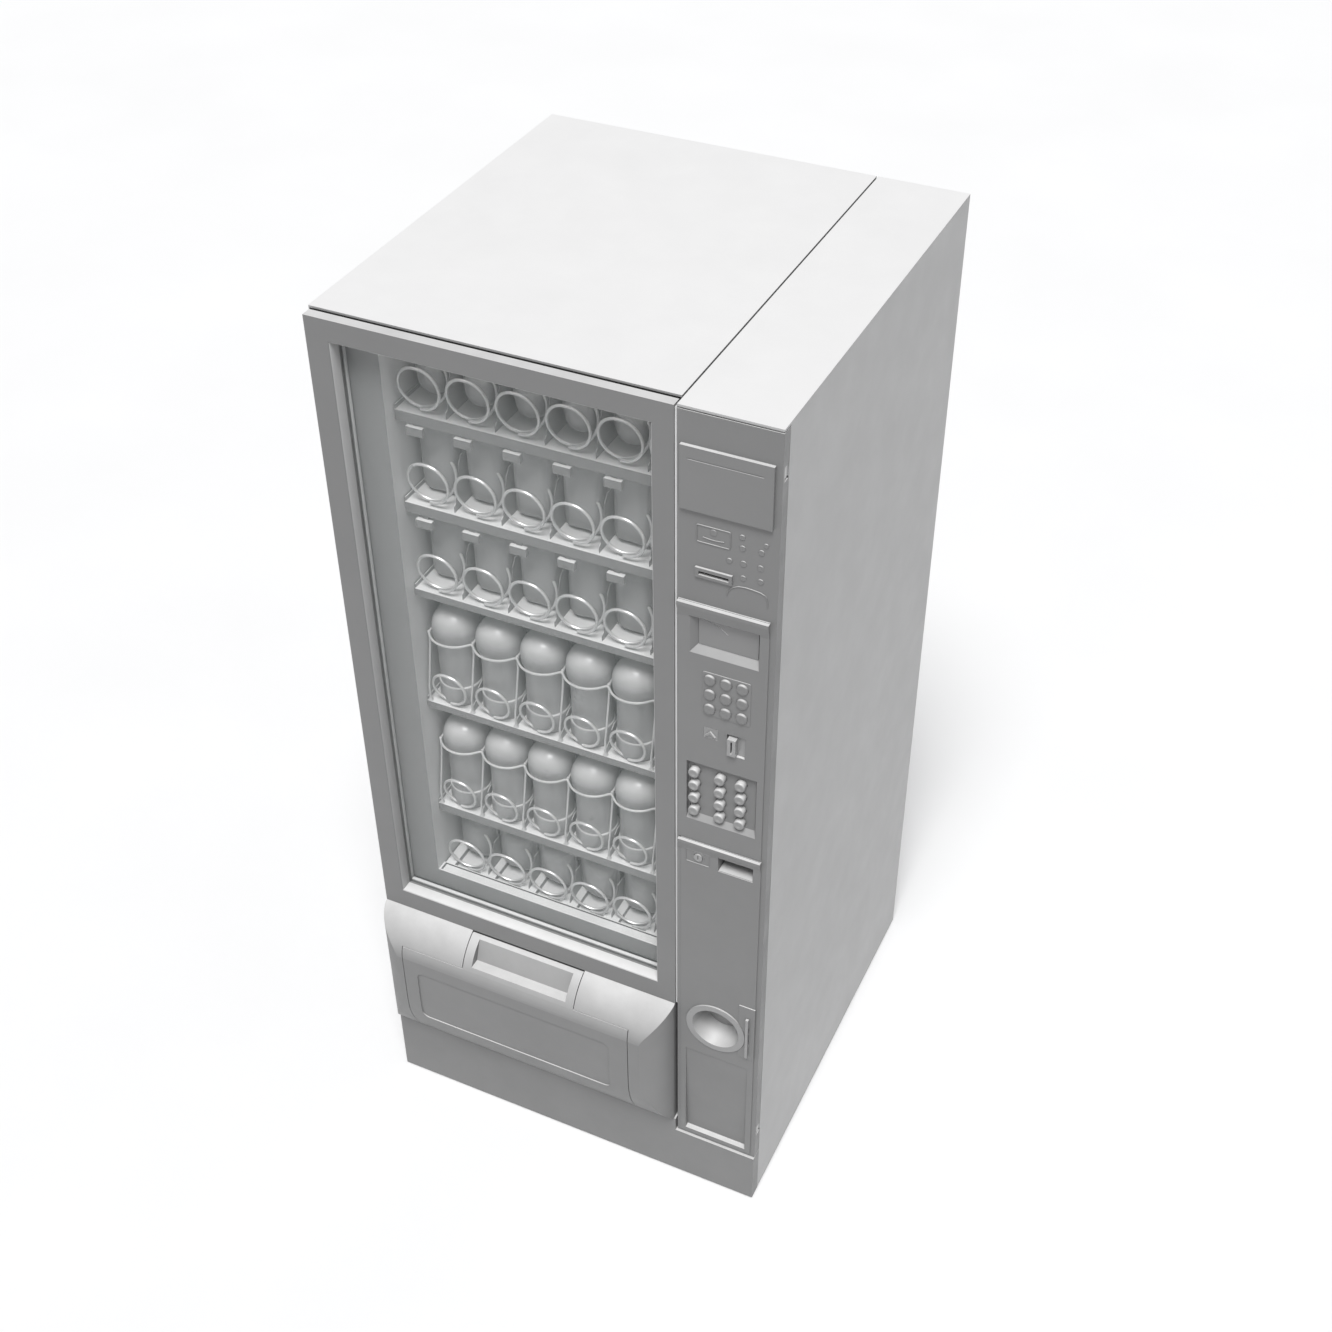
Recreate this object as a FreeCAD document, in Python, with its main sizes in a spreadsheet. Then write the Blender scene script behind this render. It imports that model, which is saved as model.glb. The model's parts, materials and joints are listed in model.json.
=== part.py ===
import FreeCAD, Part
import Sketcher
import math, os
from FreeCAD import Vector, Placement, Rotation

# Full-height snack vending machine.  Millimetres, +Z up.
# Positions are laid out from the cabinet's left front lower corner (x to the
# right, y to the back, z up); every sub-part is then placed so that the
# document's origin is at the middle of the footprint, on the floor.

doc = FreeCAD.newDocument("snack_vending_machine")
sheet = doc.addObject("Spreadsheet::Sheet", "Dims")

CELLS = [
    ("cab_width", 817.0), ("cab_depth", 836.0), ("cab_height", 1830.0),
    ("pod_proud", 58.0), ("sheet_thick", 2.0), ("panel_thick", 4.0),
    ("door_width", 639.0), ("door_left", 4.5), ("door_bottom", 512.0), ("door_top", 1826.5),
    ("door_thick", 19.0), ("door_ring_back", 42.0),
    ("win_left", 46.5), ("win_right", 607.0), ("win_bottom", 556.0), ("win_top", 1788.0),
    ("glass_front", 27.5), ("glass_thick", 6.0),
    ("column_left", 648.5), ("column_bottom", 131.5), ("column_top", 1823.0), ("column_thick", 20.5),
    ("bay_left", 106.5), ("bay_right", 656.0), ("bay_top", 1795.0), ("bay_back", 790.0), ("bay_front", 45.0),
    ("tray_front", 68.5), ("tray_back", 640.0), ("tray_thick", 1.5),
    ("lane_first", 157.5), ("lane_pitch", 90.4),
    ("floor_one", 1644.0), ("floor_two", 1462.5), ("floor_three", 1279.0),
    ("floor_four", 1021.5), ("floor_five", 761.7), ("floor_six", 598.0),
    ("wire_radius", 2.75), ("coil_snack", 39.25), ("coil_bottle", 34.5), ("coil_deck", 40.0),
    ("pitch_snack", 68.0), ("pitch_bottle", 94.0),
    ("key_radius", 9.7), ("key_gap", 0.35), ("key_travel", 2.0), ("key_pitch", 29.0),
    ("kick_height", 165.0), ("kick_step", 130.0), ("foot_radius", 24.0), ("anchor_radius", 5.5),
    ("pin_radius", 3.0), ("pin_bore", 3.06),
]
for i, (name, value) in enumerate(CELLS):
    sheet.set("A%d" % (i + 1), name)
    sheet.set("B%d" % (i + 1), str(value))
    sheet.setAlias("B%d" % (i + 1), name)
doc.recompute()


class Q:
    """A length that knows its number and the sheet expression behind it."""

    def __init__(self, v, e):
        self.v = float(v)
        self.e = e

    def __add__(self, o):
        return Q(self.v + val(o), "(%s + %s)" % (self.e, txt(o)))

    def __radd__(self, o):
        return Q(val(o) + self.v, "(%s + %s)" % (txt(o), self.e))

    def __sub__(self, o):
        return Q(self.v - val(o), "(%s - %s)" % (self.e, txt(o)))

    def __rsub__(self, o):
        return Q(val(o) - self.v, "(%s - %s)" % (txt(o), self.e))

    def __mul__(self, o):
        return Q(self.v * val(o), "(%s * %s)" % (self.e, txt(o)))

    __rmul__ = __mul__

    def __truediv__(self, o):
        return Q(self.v / val(o), "(%s / %s)" % (self.e, txt(o)))

    def __neg__(self):
        return Q(-self.v, "(0 - %s)" % self.e)


def val(a):
    return a.v if isinstance(a, Q) else float(a)


def txt(a):
    return a.e if isinstance(a, Q) else ("(%r)" % float(a))


S = {}
for name, value in CELLS:
    S[name] = Q(float(getattr(sheet, name)), "Dims." + name)

W, D, H = S["cab_width"], S["cab_depth"], S["cab_height"]
OX = -W / 2
OY = -(D - S["pod_proud"]) / 2
FINAL = {}


def put(o, prop, a):
    if isinstance(a, Q):
        o.setExpression(prop, a.e)
    elif prop.startswith("Placement.Base."):
        p = o.Placement
        b = Vector(p.Base)
        setattr(b, prop[-1], float(a))
        o.Placement = Placement(b, p.Rotation)
    else:
        setattr(o, prop, float(a))


def at(o, x, y, z):
    for ax, a in (("x", x), ("y", y), ("z", z)):
        put(o, "Placement.Base." + ax, a)
    return o


def box(x0, x1, y0, y1, z0, z1):
    o = doc.addObject("Part::Box", "Block")
    put(o, "Length", x1 - x0)
    put(o, "Width", y1 - y0)
    put(o, "Height", z1 - z0)
    return at(o, x0, y0, z0)


ROT = {"z": Rotation(), "y": Rotation(Vector(1, 0, 0), -90), "x": Rotation(Vector(0, 1, 0), 90)}


def cyl(x, y, z, r, length, axis="y"):
    o = doc.addObject("Part::Cylinder", "Round")
    put(o, "Radius", r)
    put(o, "Height", length)
    o.Placement = Placement(Vector(val(x), val(y), val(z)), ROT[axis])
    return at(o, x, y, z)


def cone(x, y, z, ra, rb, length, axis="y"):
    o = doc.addObject("Part::Cone", "Taper")
    put(o, "Radius1", ra)
    put(o, "Radius2", rb)
    put(o, "Height", length)
    o.Placement = Placement(Vector(val(x), val(y), val(z)), ROT[axis])
    return at(o, x, y, z)


def frustum(y0, a, y1, b):
    """A pocket tool: rectangle a at depth y0, rectangle b at depth y1 (x0, x1, z0, z1)."""
    o = doc.addObject("Part::Wedge", "Frustum")
    o.Ymin, o.Ymax = y0, y1
    o.Xmin, o.Xmax, o.Zmin, o.Zmax = a
    o.X2min, o.X2max, o.Z2min, o.Z2max = b
    return o


def prism(points, lo, hi, axis="x"):
    """Closed outline extruded along an axis.  For x the points are (y, z), for y (x, z), for z (x, y)."""
    lo_v, hi_v = val(lo), val(hi)
    if axis == "x":
        pts = [Vector(lo_v, val(a), val(b)) for a, b in points]
        way = Vector(hi_v - lo_v, 0, 0)
    elif axis == "y":
        pts = [Vector(val(a), lo_v, val(b)) for a, b in points]
        way = Vector(0, hi_v - lo_v, 0)
    else:
        pts = [Vector(val(a), val(b), lo_v) for a, b in points]
        way = Vector(0, 0, hi_v - lo_v)
    f = Part.Face(Part.makePolygon(pts + [pts[0]]))
    o = doc.addObject("Part::Feature", "Outline")
    o.Shape = f.extrude(way)
    return o


def feature(shape):
    o = doc.addObject("Part::Feature", "Shape")
    o.Shape = shape
    return o


def fuse(*parts):
    o = doc.addObject("Part::MultiFuse", "Fuse")
    o.Shapes = list(parts)
    return o


def common(a, b):
    o = doc.addObject("Part::MultiCommon", "Common")
    o.Shapes = [a, b]
    return o


def cut(base, *tools):
    o = doc.addObject("Part::Cut", "Cut")
    o.Base = base
    o.Tool = tools[0] if len(tools) == 1 else fuse(*tools)
    return o


def group(*parts):
    o = doc.addObject("Part::Compound", "Group")
    o.Links = list(parts)
    return o


def final(label, o):
    """Name the sub-part and move it from the corner frame to the document's origin."""
    if o.TypeId in ("Part::Box", "Part::Cylinder", "Part::Cone", "Part::Feature"):
        o = group(o)
    o.Label = label
    o.setExpression("Placement.Base.x", OX.e)
    o.setExpression("Placement.Base.y", OY.e)
    FINAL[label] = o
    return o


# ---------------------------------------------------------------- PartDesign helpers
def body(label):
    b = doc.addObject("PartDesign::Body", "Body")
    b.Label = label
    b.setExpression("Placement.Base.x", OX.e)
    b.setExpression("Placement.Base.y", OY.e)
    FINAL[label] = b
    return b


def sketch(b, role, offset):
    s = b.newObject("Sketcher::SketchObject", "Sketch")
    for f in b.Origin.OriginFeatures:
        if f.Role == role:
            s.AttachmentSupport = [(f, "")]
    s.MapMode = "FlatFace"
    o = -offset if role == "XZ_Plane" else offset
    if isinstance(o, Q):
        s.AttachmentOffset = Placement(Vector(0, 0, o.v), Rotation())
        s.setExpression("AttachmentOffset.Base.z", o.e)
    else:
        s.AttachmentOffset = Placement(Vector(0, 0, float(o)), Rotation())
    return s


def bind(s, kind, g, p, a):
    v = val(a)
    if v >= 0:
        c = s.addConstraint(Sketcher.Constraint(kind, -1, 1, g, p, v))
        e = txt(a)
    else:
        c = s.addConstraint(Sketcher.Constraint(kind, g, p, -1, 1, -v))
        e = txt(-a)
    if isinstance(a, Q):
        s.setExpression("Constraints[%d]" % c, e)


def rect(s, a0, a1, b0, b1):
    p = [Vector(val(a0), val(b0), 0), Vector(val(a1), val(b0), 0), Vector(val(a1), val(b1), 0), Vector(val(a0), val(b1), 0)]
    g = [s.addGeometry(Part.LineSegment(p[i], p[(i + 1) % 4]), False) for i in range(4)]
    for i in range(4):
        s.addConstraint(Sketcher.Constraint("Coincident", g[i], 2, g[(i + 1) % 4], 1))
    s.addConstraint(Sketcher.Constraint("Horizontal", g[0]))
    s.addConstraint(Sketcher.Constraint("Vertical", g[1]))
    s.addConstraint(Sketcher.Constraint("Horizontal", g[2]))
    s.addConstraint(Sketcher.Constraint("Vertical", g[3]))
    bind(s, "DistanceX", g[0], 1, a0)
    bind(s, "DistanceY", g[0], 1, b0)
    bind(s, "DistanceX", g[2], 1, a1)
    bind(s, "DistanceY", g[2], 1, b1)


def poly(s, pts):
    n = len(pts)
    v = [Vector(val(a), val(b), 0) for a, b in pts]
    g = [s.addGeometry(Part.LineSegment(v[i], v[(i + 1) % n]), False) for i in range(n)]
    for i in range(n):
        s.addConstraint(Sketcher.Constraint("Coincident", g[i], 2, g[(i + 1) % n], 1))
    for i, (a, b) in enumerate(pts):
        bind(s, "DistanceX", g[i], 1, a)
        bind(s, "DistanceY", g[i], 1, b)


def circle(s, a, b, r):
    g = s.addGeometry(Part.Circle(Vector(val(a), val(b), 0), Vector(0, 0, 1), val(r)), False)
    bind(s, "DistanceX", g, 3, a)
    bind(s, "DistanceY", g, 3, b)
    c = s.addConstraint(Sketcher.Constraint("Radius", g, val(r)))
    if isinstance(r, Q):
        s.setExpression("Constraints[%d]" % c, r.e)


def pad(b, s, length, back=False):
    p = b.newObject("PartDesign::Pad", "Pad")
    p.Profile = s
    if isinstance(length, Q):
        p.Length = length.v
        p.setExpression("Length", length.e)
    else:
        p.Length = float(length)
    p.Reversed = back
    b.Tip = p
    return p


def pocket(b, s, length, back=False):
    p = b.newObject("PartDesign::Pocket", "Pocket")
    p.Profile = s
    p.Length = val(length)
    if isinstance(length, Q):
        p.setExpression("Length", length.e)
    p.Reversed = back
    b.Tip = p
    return p


def pattern(b, feat, axis_role, length, count):
    p = b.newObject("PartDesign::LinearPattern", "Pattern")
    p.Originals = [feat]
    for f in b.Origin.OriginFeatures:
        if f.Role == axis_role:
            p.Direction = (f, [""])
    p.Length = val(length)
    if isinstance(length, Q):
        p.setExpression("Length", length.e)
    p.Occurrences = count
    b.Tip = p
    return p


def plate_xz(label, y0, thick, x0, x1, z0, z1, holes=()):
    """A plate facing the front, padded towards the back."""
    b = body(label)
    s = sketch(b, "XZ_Plane", y0)
    rect(s, x0, x1, z0, z1)
    for hole in holes:
        if len(hole) == 4:
            rect(s, *hole)
        else:
            circle(s, *hole)
    pad(b, s, thick, True)
    return b


T = S["sheet_thick"]
LANE = [S["lane_first"] + S["lane_pitch"] * i for i in range(6)]
FLOOR = [S["floor_one"], S["floor_two"], S["floor_three"], S["floor_four"], S["floor_five"], S["floor_six"]]
AXIS_Z = [1692.8, 1510.5, 1324.5, 1061.5, 802.5, 634.25]
COIL = [S["coil_snack"], S["coil_snack"], S["coil_snack"], S["coil_bottle"], S["coil_bottle"], S["coil_deck"]]
PITCH = [S["pitch_snack"], S["pitch_snack"], S["pitch_snack"], S["pitch_bottle"], S["pitch_bottle"], S["pitch_snack"]]

# ================================================================ cabinet
# cabinet_wrap: left side, back and right side folded from one sheet
b = body("cabinet_wrap")
s = sketch(b, "XY_Plane", 6.0)
poly(s, [(0.01, 24.0), (T, 24.0), (T, D - T), (W - T, D - T), (W - T, 23.0), (W, 23.0), (W, D), (0.01, D)])
pad(b, s, H - S["panel_thick"] - 6.0)
s = sketch(b, "XZ_Plane", D)
rect(s, 120.0, 168.0, 240.0, 270.0)
pocket(b, s, T + 2.0, True)
s = sketch(b, "XZ_Plane", D)
rect(s, 260.0, 266.0, 90.0, 190.0)
vent = pocket(b, s, T + 2.0, True)
doc.recompute()
pattern(b, vent, "X_Axis", 320.0, 17)

# bay_liner: inner lining of the goods bay with its front flange, and the sill with the drop slot
BL, BR = S["bay_left"], S["bay_right"]
liner = fuse(box(BL - 3.0, BR + 4.0, S["bay_front"], S["bay_back"] + 3.0, 577.0, S["bay_top"] + 3.0),
             box(T, BR + 4.0, S["bay_front"], S["bay_front"] + 3.0, 556.0, H - S["panel_thick"]),
             box(BL - 3.0, BR + 4.0, S["bay_front"], 71.5, 556.0, 600.0))
liner_cuts = [box(BL, BR, S["bay_front"] - 1.0, S["bay_back"], 600.0, S["bay_top"]),
              box(BL, BR, S["tray_front"] - 0.5, S["bay_back"], 580.0, 601.0),
              box(110.0, 652.0, 48.0, 68.0, 550.0, 601.0),
              cyl(106.9, 50.5, 594.5, 1.56, 548.2, "x")]
final("bay_liner", cut(liner, *liner_cuts))

# top panels, one over the goods bay and one over the payment column
b = body("main_top_panel")
s = sketch(b, "XY_Plane", H - S["panel_thick"])
rect(s, 0.01, 645.5, 24.0, D)
pad(b, s, S["panel_thick"])
b = body("column_top_panel")
s = sketch(b, "XY_Plane", H - S["panel_thick"])
poly(s, [(S["column_left"], 0.01), (W, 0.01), (W, D), (S["column_left"], D)])
pad(b, s, S["panel_thick"])

# base_pan: folded pan that carries the cabinet; four anchor holes and four foot holes
pan = cut(box(T, W - T, 26.0, D - T, 22.0, 70.0), box(T + 3.0, W - T - 3.0, 29.0, D - T - 3.0, 25.0, 71.0))
holes = [cyl(x, y, 20.0, 6.3, 8.0, "z") for x in (70.0, 747.0) for y in (90.0, 770.0)]
holes += [cyl(x, y, 20.0, S["anchor_radius"], 8.0, "z") for x in (128.5, 688.5) for y in (139.0, 639.0)]
final("base_pan", cut(pan, *holes))

# kick_plate: front skin stepped up under the delivery pod, with ledge and side returns
final("kick_plate", cut(fuse(box(0.01, W, -5.0, 24.0 - 1.5, 3.0, S["kick_step"]),
                             box(0.01, S["column_left"] - 2.5, -5.0, 24.0 - 1.5, S["kick_step"] - 1.0, S["kick_height"])),
                        box(2.0, W - 2.0, -3.0, 30.0, 0.0, S["kick_step"] - 2.0),
                        box(2.0, S["column_left"] - 4.5, -3.0, 30.0, S["kick_step"] - 3.0, S["kick_height"] - 2.0)))

# levelling_feet: pad, stem and lock nut, four off
feet = []
for x in (70.0, 747.0):
    for y in (90.0, 770.0):
        nut = prism([(x + 10.0 * math.cos(math.radians(60 * k)), y + 10.0 * math.sin(math.radians(60 * k))) for k in range(6)], 12.0, 21.5, "z")
        feet.append(fuse(cone(x, y, 0.0, S["foot_radius"], 16.0, 9.0, "z"), cyl(x, y, 8.0, 6.0, 40.0, "z"), nut))
final("levelling_feet", group(*feet))

# tray_rails: an angle either side under each shelf tray
rails = []
for i in range(5):
    z = FLOOR[i] - S["tray_thick"] - 0.5
    rails.append(fuse(box(S["bay_left"], S["bay_left"] + 1.5, 90.0, S["tray_back"], z - 16.0, z),
                      box(S["bay_left"], S["bay_left"] + 12.0, 90.0, S["tray_back"], z - 1.5, z)))
    rails.append(fuse(box(S["bay_right"] - 1.5, S["bay_right"], 90.0, S["tray_back"], z - 16.0, z),
                      box(S["bay_right"] - 12.0, S["bay_right"], 90.0, S["tray_back"], z - 1.5, z)))
final("tray_rails", group(*rails))

# ================================================================ trays
TRAY_L, TRAY_R = 108.5, 654.0
LIP = [20.0, 19.5, 15.0, 15.0, 19.0]
for i in range(5):
    f = FLOOR[i]
    b = body("tray_%d" % (i + 1))
    s = sketch(b, "XZ_Plane", S["tray_front"] + 2.0)
    lo = f - S["tray_thick"]
    poly(s, [(TRAY_L, lo), (TRAY_R, lo), (TRAY_R, f + 8.0), (TRAY_R - 1.5, f + 8.0), (TRAY_R - 1.5, f),
             (TRAY_L + 1.5, f), (TRAY_L + 1.5, f + 8.0), (TRAY_L, f + 8.0)])
    pad(b, s, S["tray_back"] - S["tray_front"] - 2.0, True)
    s = sketch(b, "XZ_Plane", S["tray_front"])
    rect(s, TRAY_L, TRAY_R, f - LIP[i], f)
    pad(b, s, 2.0, True)
    if i < 2:
        # label tabs hung under the lip, one a lane, on a short stem
        s = sketch(b, "XZ_Plane", 63.5)
        top = 1620.0 if i == 0 else 1435.5
        rect(s, 130.0, 161.0, top - 16.0, top)
        tab = pad(b, s, 9.0, True)
        s = sketch(b, "XZ_Plane", S["tray_front"] + 2.0)
        rect(s, 140.0, 151.0, top - 8.0, f - 0.5)
        stem = pad(b, s, 2.0, True)
        doc.recompute()
        mp = b.newObject("PartDesign::LinearPattern", "Pattern")
        mp.Originals = [tab, stem]
        for g in b.Origin.OriginFeatures:
            if g.Role == "X_Axis":
                mp.Direction = (g, [""])
        mp.Length = val(S["lane_pitch"]) * 5
        mp.setExpression("Length", (S["lane_pitch"] * 5).e)
        mp.Occurrences = 6
        b.Tip = mp
    # lane dividers: thin sheets that rise from a low nose to full height
    s = sketch(b, "YZ_Plane", LANE[0] + S["lane_pitch"] / 2 - 0.7)
    hi = 96.0 if i < 3 else 46.0
    back = S["tray_back"]
    poly(s, [(75.0, f - 0.5), (75.0, f + 12.0), (81.0, f + 16.0), (90.0, f + 0.45 * hi), (98.0, f + 0.85 * hi), (108.0, f + hi), (back, f + hi), (back, f - 0.5)])
    d = pad(b, s, 1.4)
    doc.recompute()
    pattern(b, d, "X_Axis", S["lane_pitch"] * 4, 5)

# tray_6: bottom deck, a corrugated sheet with a trough under each spiral
f = FLOOR[5]
troughs = []
ribs = []
for i in range(6):
    troughs.append(box(LANE[i] - 29.0, LANE[i] + 29.0, S["tray_front"] + 2.0, S["tray_back"] + 1.0, f - 12.0, f + 1.0))
prev = 110.5
for i in range(6):
    ribs.append(box(prev, LANE[i] - 31.0, S["tray_front"] + 2.0, S["tray_back"] + 1.0, f - 15.0, f - 2.0))
    prev = LANE[i] + 31.0
deck = cut(box(TRAY_L, TRAY_R, S["tray_front"], S["tray_back"], f - 14.0, f), *(troughs + ribs))
div = [prism([(75.0, f - 0.5), (75.0, f + 10.0), (90.0, f + 30.0), (104.0, f + 62.0), (S["tray_back"], f + 62.0), (S["tray_back"], f - 0.5)],
             val(LANE[i]) + 44.5, val(LANE[i]) + 45.9, "x") for i in range(5)]
final("tray_6", fuse(deck, *div))

# drop_flap: narrow sprung flap that closes the drop slot in the sill
final("drop_flap", fuse(box(112.0, 650.0, 50.0, 67.0, 593.0, 596.0), cyl(107.5, 50.5, 594.5, 1.5, 547.0, "x")))

# ================================================================ spirals
def coil_path(r, pitch, turns, y_tip):
    """Points of a spiral wire seen from the front: tip at the bottom, one flat ring, then even turns to the back."""
    pts = []
    n = 10
    total = turns * n
    for k in range(n // 2, total + 1):
        a = 360.0 * k / n
        if a <= 360.0:
            y = y_tip + 8.0 - 8.0 * (a - 180.0) / 180.0
        elif a <= 540.0:
            y = y_tip + 15.0 * (a - 360.0) / 180.0
        else:
            y = y_tip + 15.0 + pitch * (a - 540.0) / 360.0
        t = math.radians(a)
        pts.append(Vector(-r * math.sin(t), y, r * math.cos(t)))
    return pts


def wire_solid(pts, r):
    """Round wire along a run of straight spans with mitred corners."""
    path = Part.makePolygon(pts)
    d = pts[1] - pts[0]
    prof = Part.Wire(Part.makeCircle(r, pts[0], d))
    return path.makePipeShell([prof], True, False, 1)


def spiral(r, pitch, turns, y_tip):
    """Spiral with a rear spoke and a hub bored for the motor shaft, axis on the Y line through the origin."""
    rw = val(S["wire_radius"])
    pts = coil_path(r, pitch, turns, y_tip)
    solid = wire_solid(pts, rw)
    end = pts[-1]
    y_end = end.y
    tip = Vector(end.x, y_end, end.z)
    # spoke from the last point of the wire to the hub, and a ball that closes the corner
    spoke = Part.makeCylinder(rw, math.hypot(tip.x, tip.z), Vector(0, y_end, 0), Vector(tip.x, 0, tip.z))
    ball = Part.makeSphere(rw * 1.06, tip)
    hub = Part.makeCylinder(8.0, 660.0 - (y_end - 6.0), Vector(0, y_end - 6.0, 0), Vector(0, 1, 0))
    bore = Part.makeCylinder(4.06, 14.0, Vector(0, 648.0, 0), Vector(0, 1, 0))
    whole = solid.fuse([spoke, ball, hub]).cut(bore)
    return whole


TURNS = [8, 8, 8, 6, 6, 8]
SPIRAL = {}
GROUPS = {"snack_spirals": [], "bottle_spirals": [], "deck_spirals": []}
for i in range(6):
    key = (val(COIL[i]), val(PITCH[i]), TURNS[i], 68.0 if i == 5 else 66.0)
    if key not in SPIRAL:
        SPIRAL[key] = spiral(*key)
    base = SPIRAL[key]
    copies = []
    for k in range(6):
        o = feature(base)
        o.Placement = Placement(Vector(val(LANE[k]), 0, AXIS_Z[i]), Rotation())
        copies.append(o)
    if i == 0:
        for k in range(6):
            final("tray_1_spiral_%d" % (k + 1), copies[k])
    else:
        GROUPS["snack_spirals" if i < 3 else "bottle_spirals" if i < 5 else "deck_spirals"] += copies
for label, copies in GROUPS.items():
    final(label, group(*copies))

# vend_motors: gear motor box with an output shaft behind every spiral
motors = []
for i in range(6):
    for k in range(6):
        motors.append(fuse(box(LANE[k] - 24.0, LANE[k] + 24.0, 662.0, 700.0, AXIS_Z[i] - 28.0, AXIS_Z[i] + 28.0),
                           cyl(LANE[k], 650.0, AXIS_Z[i], 4.0, 13.0, "y")))
final("vend_motors", group(*motors))

# bottle_wire_guards: scalloped rail on posts in front of the bottle lanes
guards = []
for i, zr in ((3, 1168.0), (4, 912.0)):
    f = val(FLOOR[i])
    pts = []
    for k in range(6):
        cx = val(LANE[k])
        for j in range(8):
            dx = -45.2 + 90.4 * j / 8.0
            if k == 0 and j == 0:
                dx = -44.0
            pts.append(Vector(cx + dx, 115.0 - math.sqrt(50.0 ** 2 - dx ** 2), zr))
    dx = 41.5
    pts.append(Vector(val(LANE[5]) + dx, 115.0 - math.sqrt(50.0 ** 2 - dx ** 2), zr))
    solids = [wire_solid(pts, 2.2)]
    for k in range(7):
        x = val(LANE[0]) - 45.2 + 90.4 * k
        if k == 0:
            x += 1.2
        if k == 6:
            x -= 3.7
        y = 115.0 - math.sqrt(50.0 ** 2 - min(abs(x - val(LANE[min(k, 5)])), 45.2) ** 2)
        a, c = Vector(x, 73.0, f - 0.4), Vector(x, y, zr)
        solids.append(Part.makeCylinder(2.2, (c - a).Length, a, c - a))
        if 0 < k < 6:
            # short stub from the rail back between two bottles
            solids.append(Part.makeCylinder(1.8, 20.0, Vector(x, y, zr), Vector(0, 1, 0)))
    g = solids[0].fuse(solids[1:])
    guards.append(feature(g))
final("bottle_wire_guards", group(*guards))

# ================================================================ hinges
# lug and pin pairs: two for the main door on the left, two for the column door on the right
PX, PY = 13.0, 12.0
QX, QY = 812.0, 13.5
hinges = []
for z in (580.0, 1740.0):
    hinges.append(fuse(box(PX - 3.5, PX + 3.5, PY, S["bay_front"], z, z + 20.0), cyl(PX, PY, z, 3.5, 20.0, "z"),
                       cyl(PX, PY, z - 12.0, S["pin_radius"], 44.0, "z")))
for z in (200.0, 1740.0):
    hinges.append(fuse(box(QX - 3.5, W - T, QY, 60.0, z, z + 20.0), cyl(QX, QY, z, 3.4, 20.0, "z"),
                       cyl(QX, QY, z - 12.0, S["pin_radius"] - 0.5, 44.0, "z")))
final("door_hinges", group(*hinges))

# ================================================================ main door
b = body("main_door_frame")
DL, DR = S["door_left"], S["door_left"] + S["door_width"]
s = sketch(b, "XZ_Plane", 0.0)
rect(s, DL, DR, S["door_bottom"], S["door_top"])
rect(s, S["win_left"], S["win_right"], S["win_bottom"], S["win_top"])
pad(b, s, S["door_thick"], True)
s = sketch(b, "XZ_Plane", S["door_thick"])
rect(s, 30.0, 624.0, 535.0, 1805.0)
rect(s, S["win_left"], S["win_right"], S["win_bottom"], S["win_top"])
pad(b, s, S["door_ring_back"] - S["door_thick"], True)
s = sketch(b, "XZ_Plane", S["glass_front"])
rect(s, S["win_left"] - 7.5, S["win_right"] + 7.5, S["win_bottom"] - 7.5, S["win_top"] + 7.5)
pocket(b, s, S["glass_thick"] + 0.4)
for z in (577.0, 1737.0):
    s = sketch(b, "XZ_Plane", 3.0)
    rect(s, 1.0, 24.0, z, z + 26.0)
    pocket(b, s, 17.0)
    s = sketch(b, "XY_Plane", z - 12.0)
    circle(s, PX, PY, S["pin_bore"])
    pocket(b, s, 50.0, True)

b = plate_xz("door_glass", S["glass_front"] + 0.2, S["glass_thick"], S["win_left"] - 7.0, S["win_right"] + 7.0, S["win_bottom"] - 7.0, S["win_top"] + 7.0)
b = body("glass_gasket")
s = sketch(b, "XZ_Plane", S["glass_front"] - 3.0)
rect(s, S["win_left"] + 0.01, S["win_right"] - 0.01, S["win_bottom"] + 0.01, S["win_top"] - 0.01)
rect(s, S["win_left"] + 1.2, S["win_right"] - 1.2, S["win_bottom"] + 1.2, S["win_top"] - 1.2)
pad(b, s, 3.1, True)


# delivery pod: swollen shell under the door.  Side outline bulged in depth, plan outline rounded at both ends.
def pod(off, y_back):
    def arc(a, m, c):
        return Part.Arc(Vector(*a), Vector(*m), Vector(*c)).toShape()

    def line(a, c):
        return Part.LineSegment(Vector(*a), Vector(*c)).toShape()
    x0, x1 = 4.5 + off, 643.0 - off
    zt, zb = 511.7 - off, 168.0 + off
    yf = -58.0 + off
    A, M1, B1 = (0, -0.5 + off, zt), (0, -41.0 + 0.75 * off, 476.0 - 0.75 * off), (0, yf, 424.0)
    C1, M2, D1 = (0, yf, 300.0), (0, -44.0 + 0.85 * off, 226.0 + 0.4 * off), (0, -10.0 + off, zb)
    side = Part.Wire([line((0, y_back, zt), A), arc(A, M1, B1), line(B1, C1), arc(C1, M2, D1), line(D1, (0, y_back, zb)), line((0, y_back, zb), (0, y_back, zt))])
    s1 = Part.Face(side).extrude(Vector(700, 0, 0))
    P0, N0, P1 = (x0, -6.0, 0), (26.0 + 0.6 * off, -44.0 + 0.75 * off, 0), (84.0, yf, 0)
    P2, N1, P3 = (563.0, yf, 0), (621.0 - 0.6 * off, -44.0 + 0.75 * off, 0), (x1, -6.0, 0)
    plan = Part.Wire([line((x0, y_back, 0), P0), arc(P0, N0, P1), line(P1, P2), arc(P2, N1, P3), line(P3, (x1, y_back, 0)), line((x1, y_back, 0), (x0, y_back, 0))])
    s2 = Part.Face(plan).extrude(Vector(0, 0, 700))
    return s1.common(s2)


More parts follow.
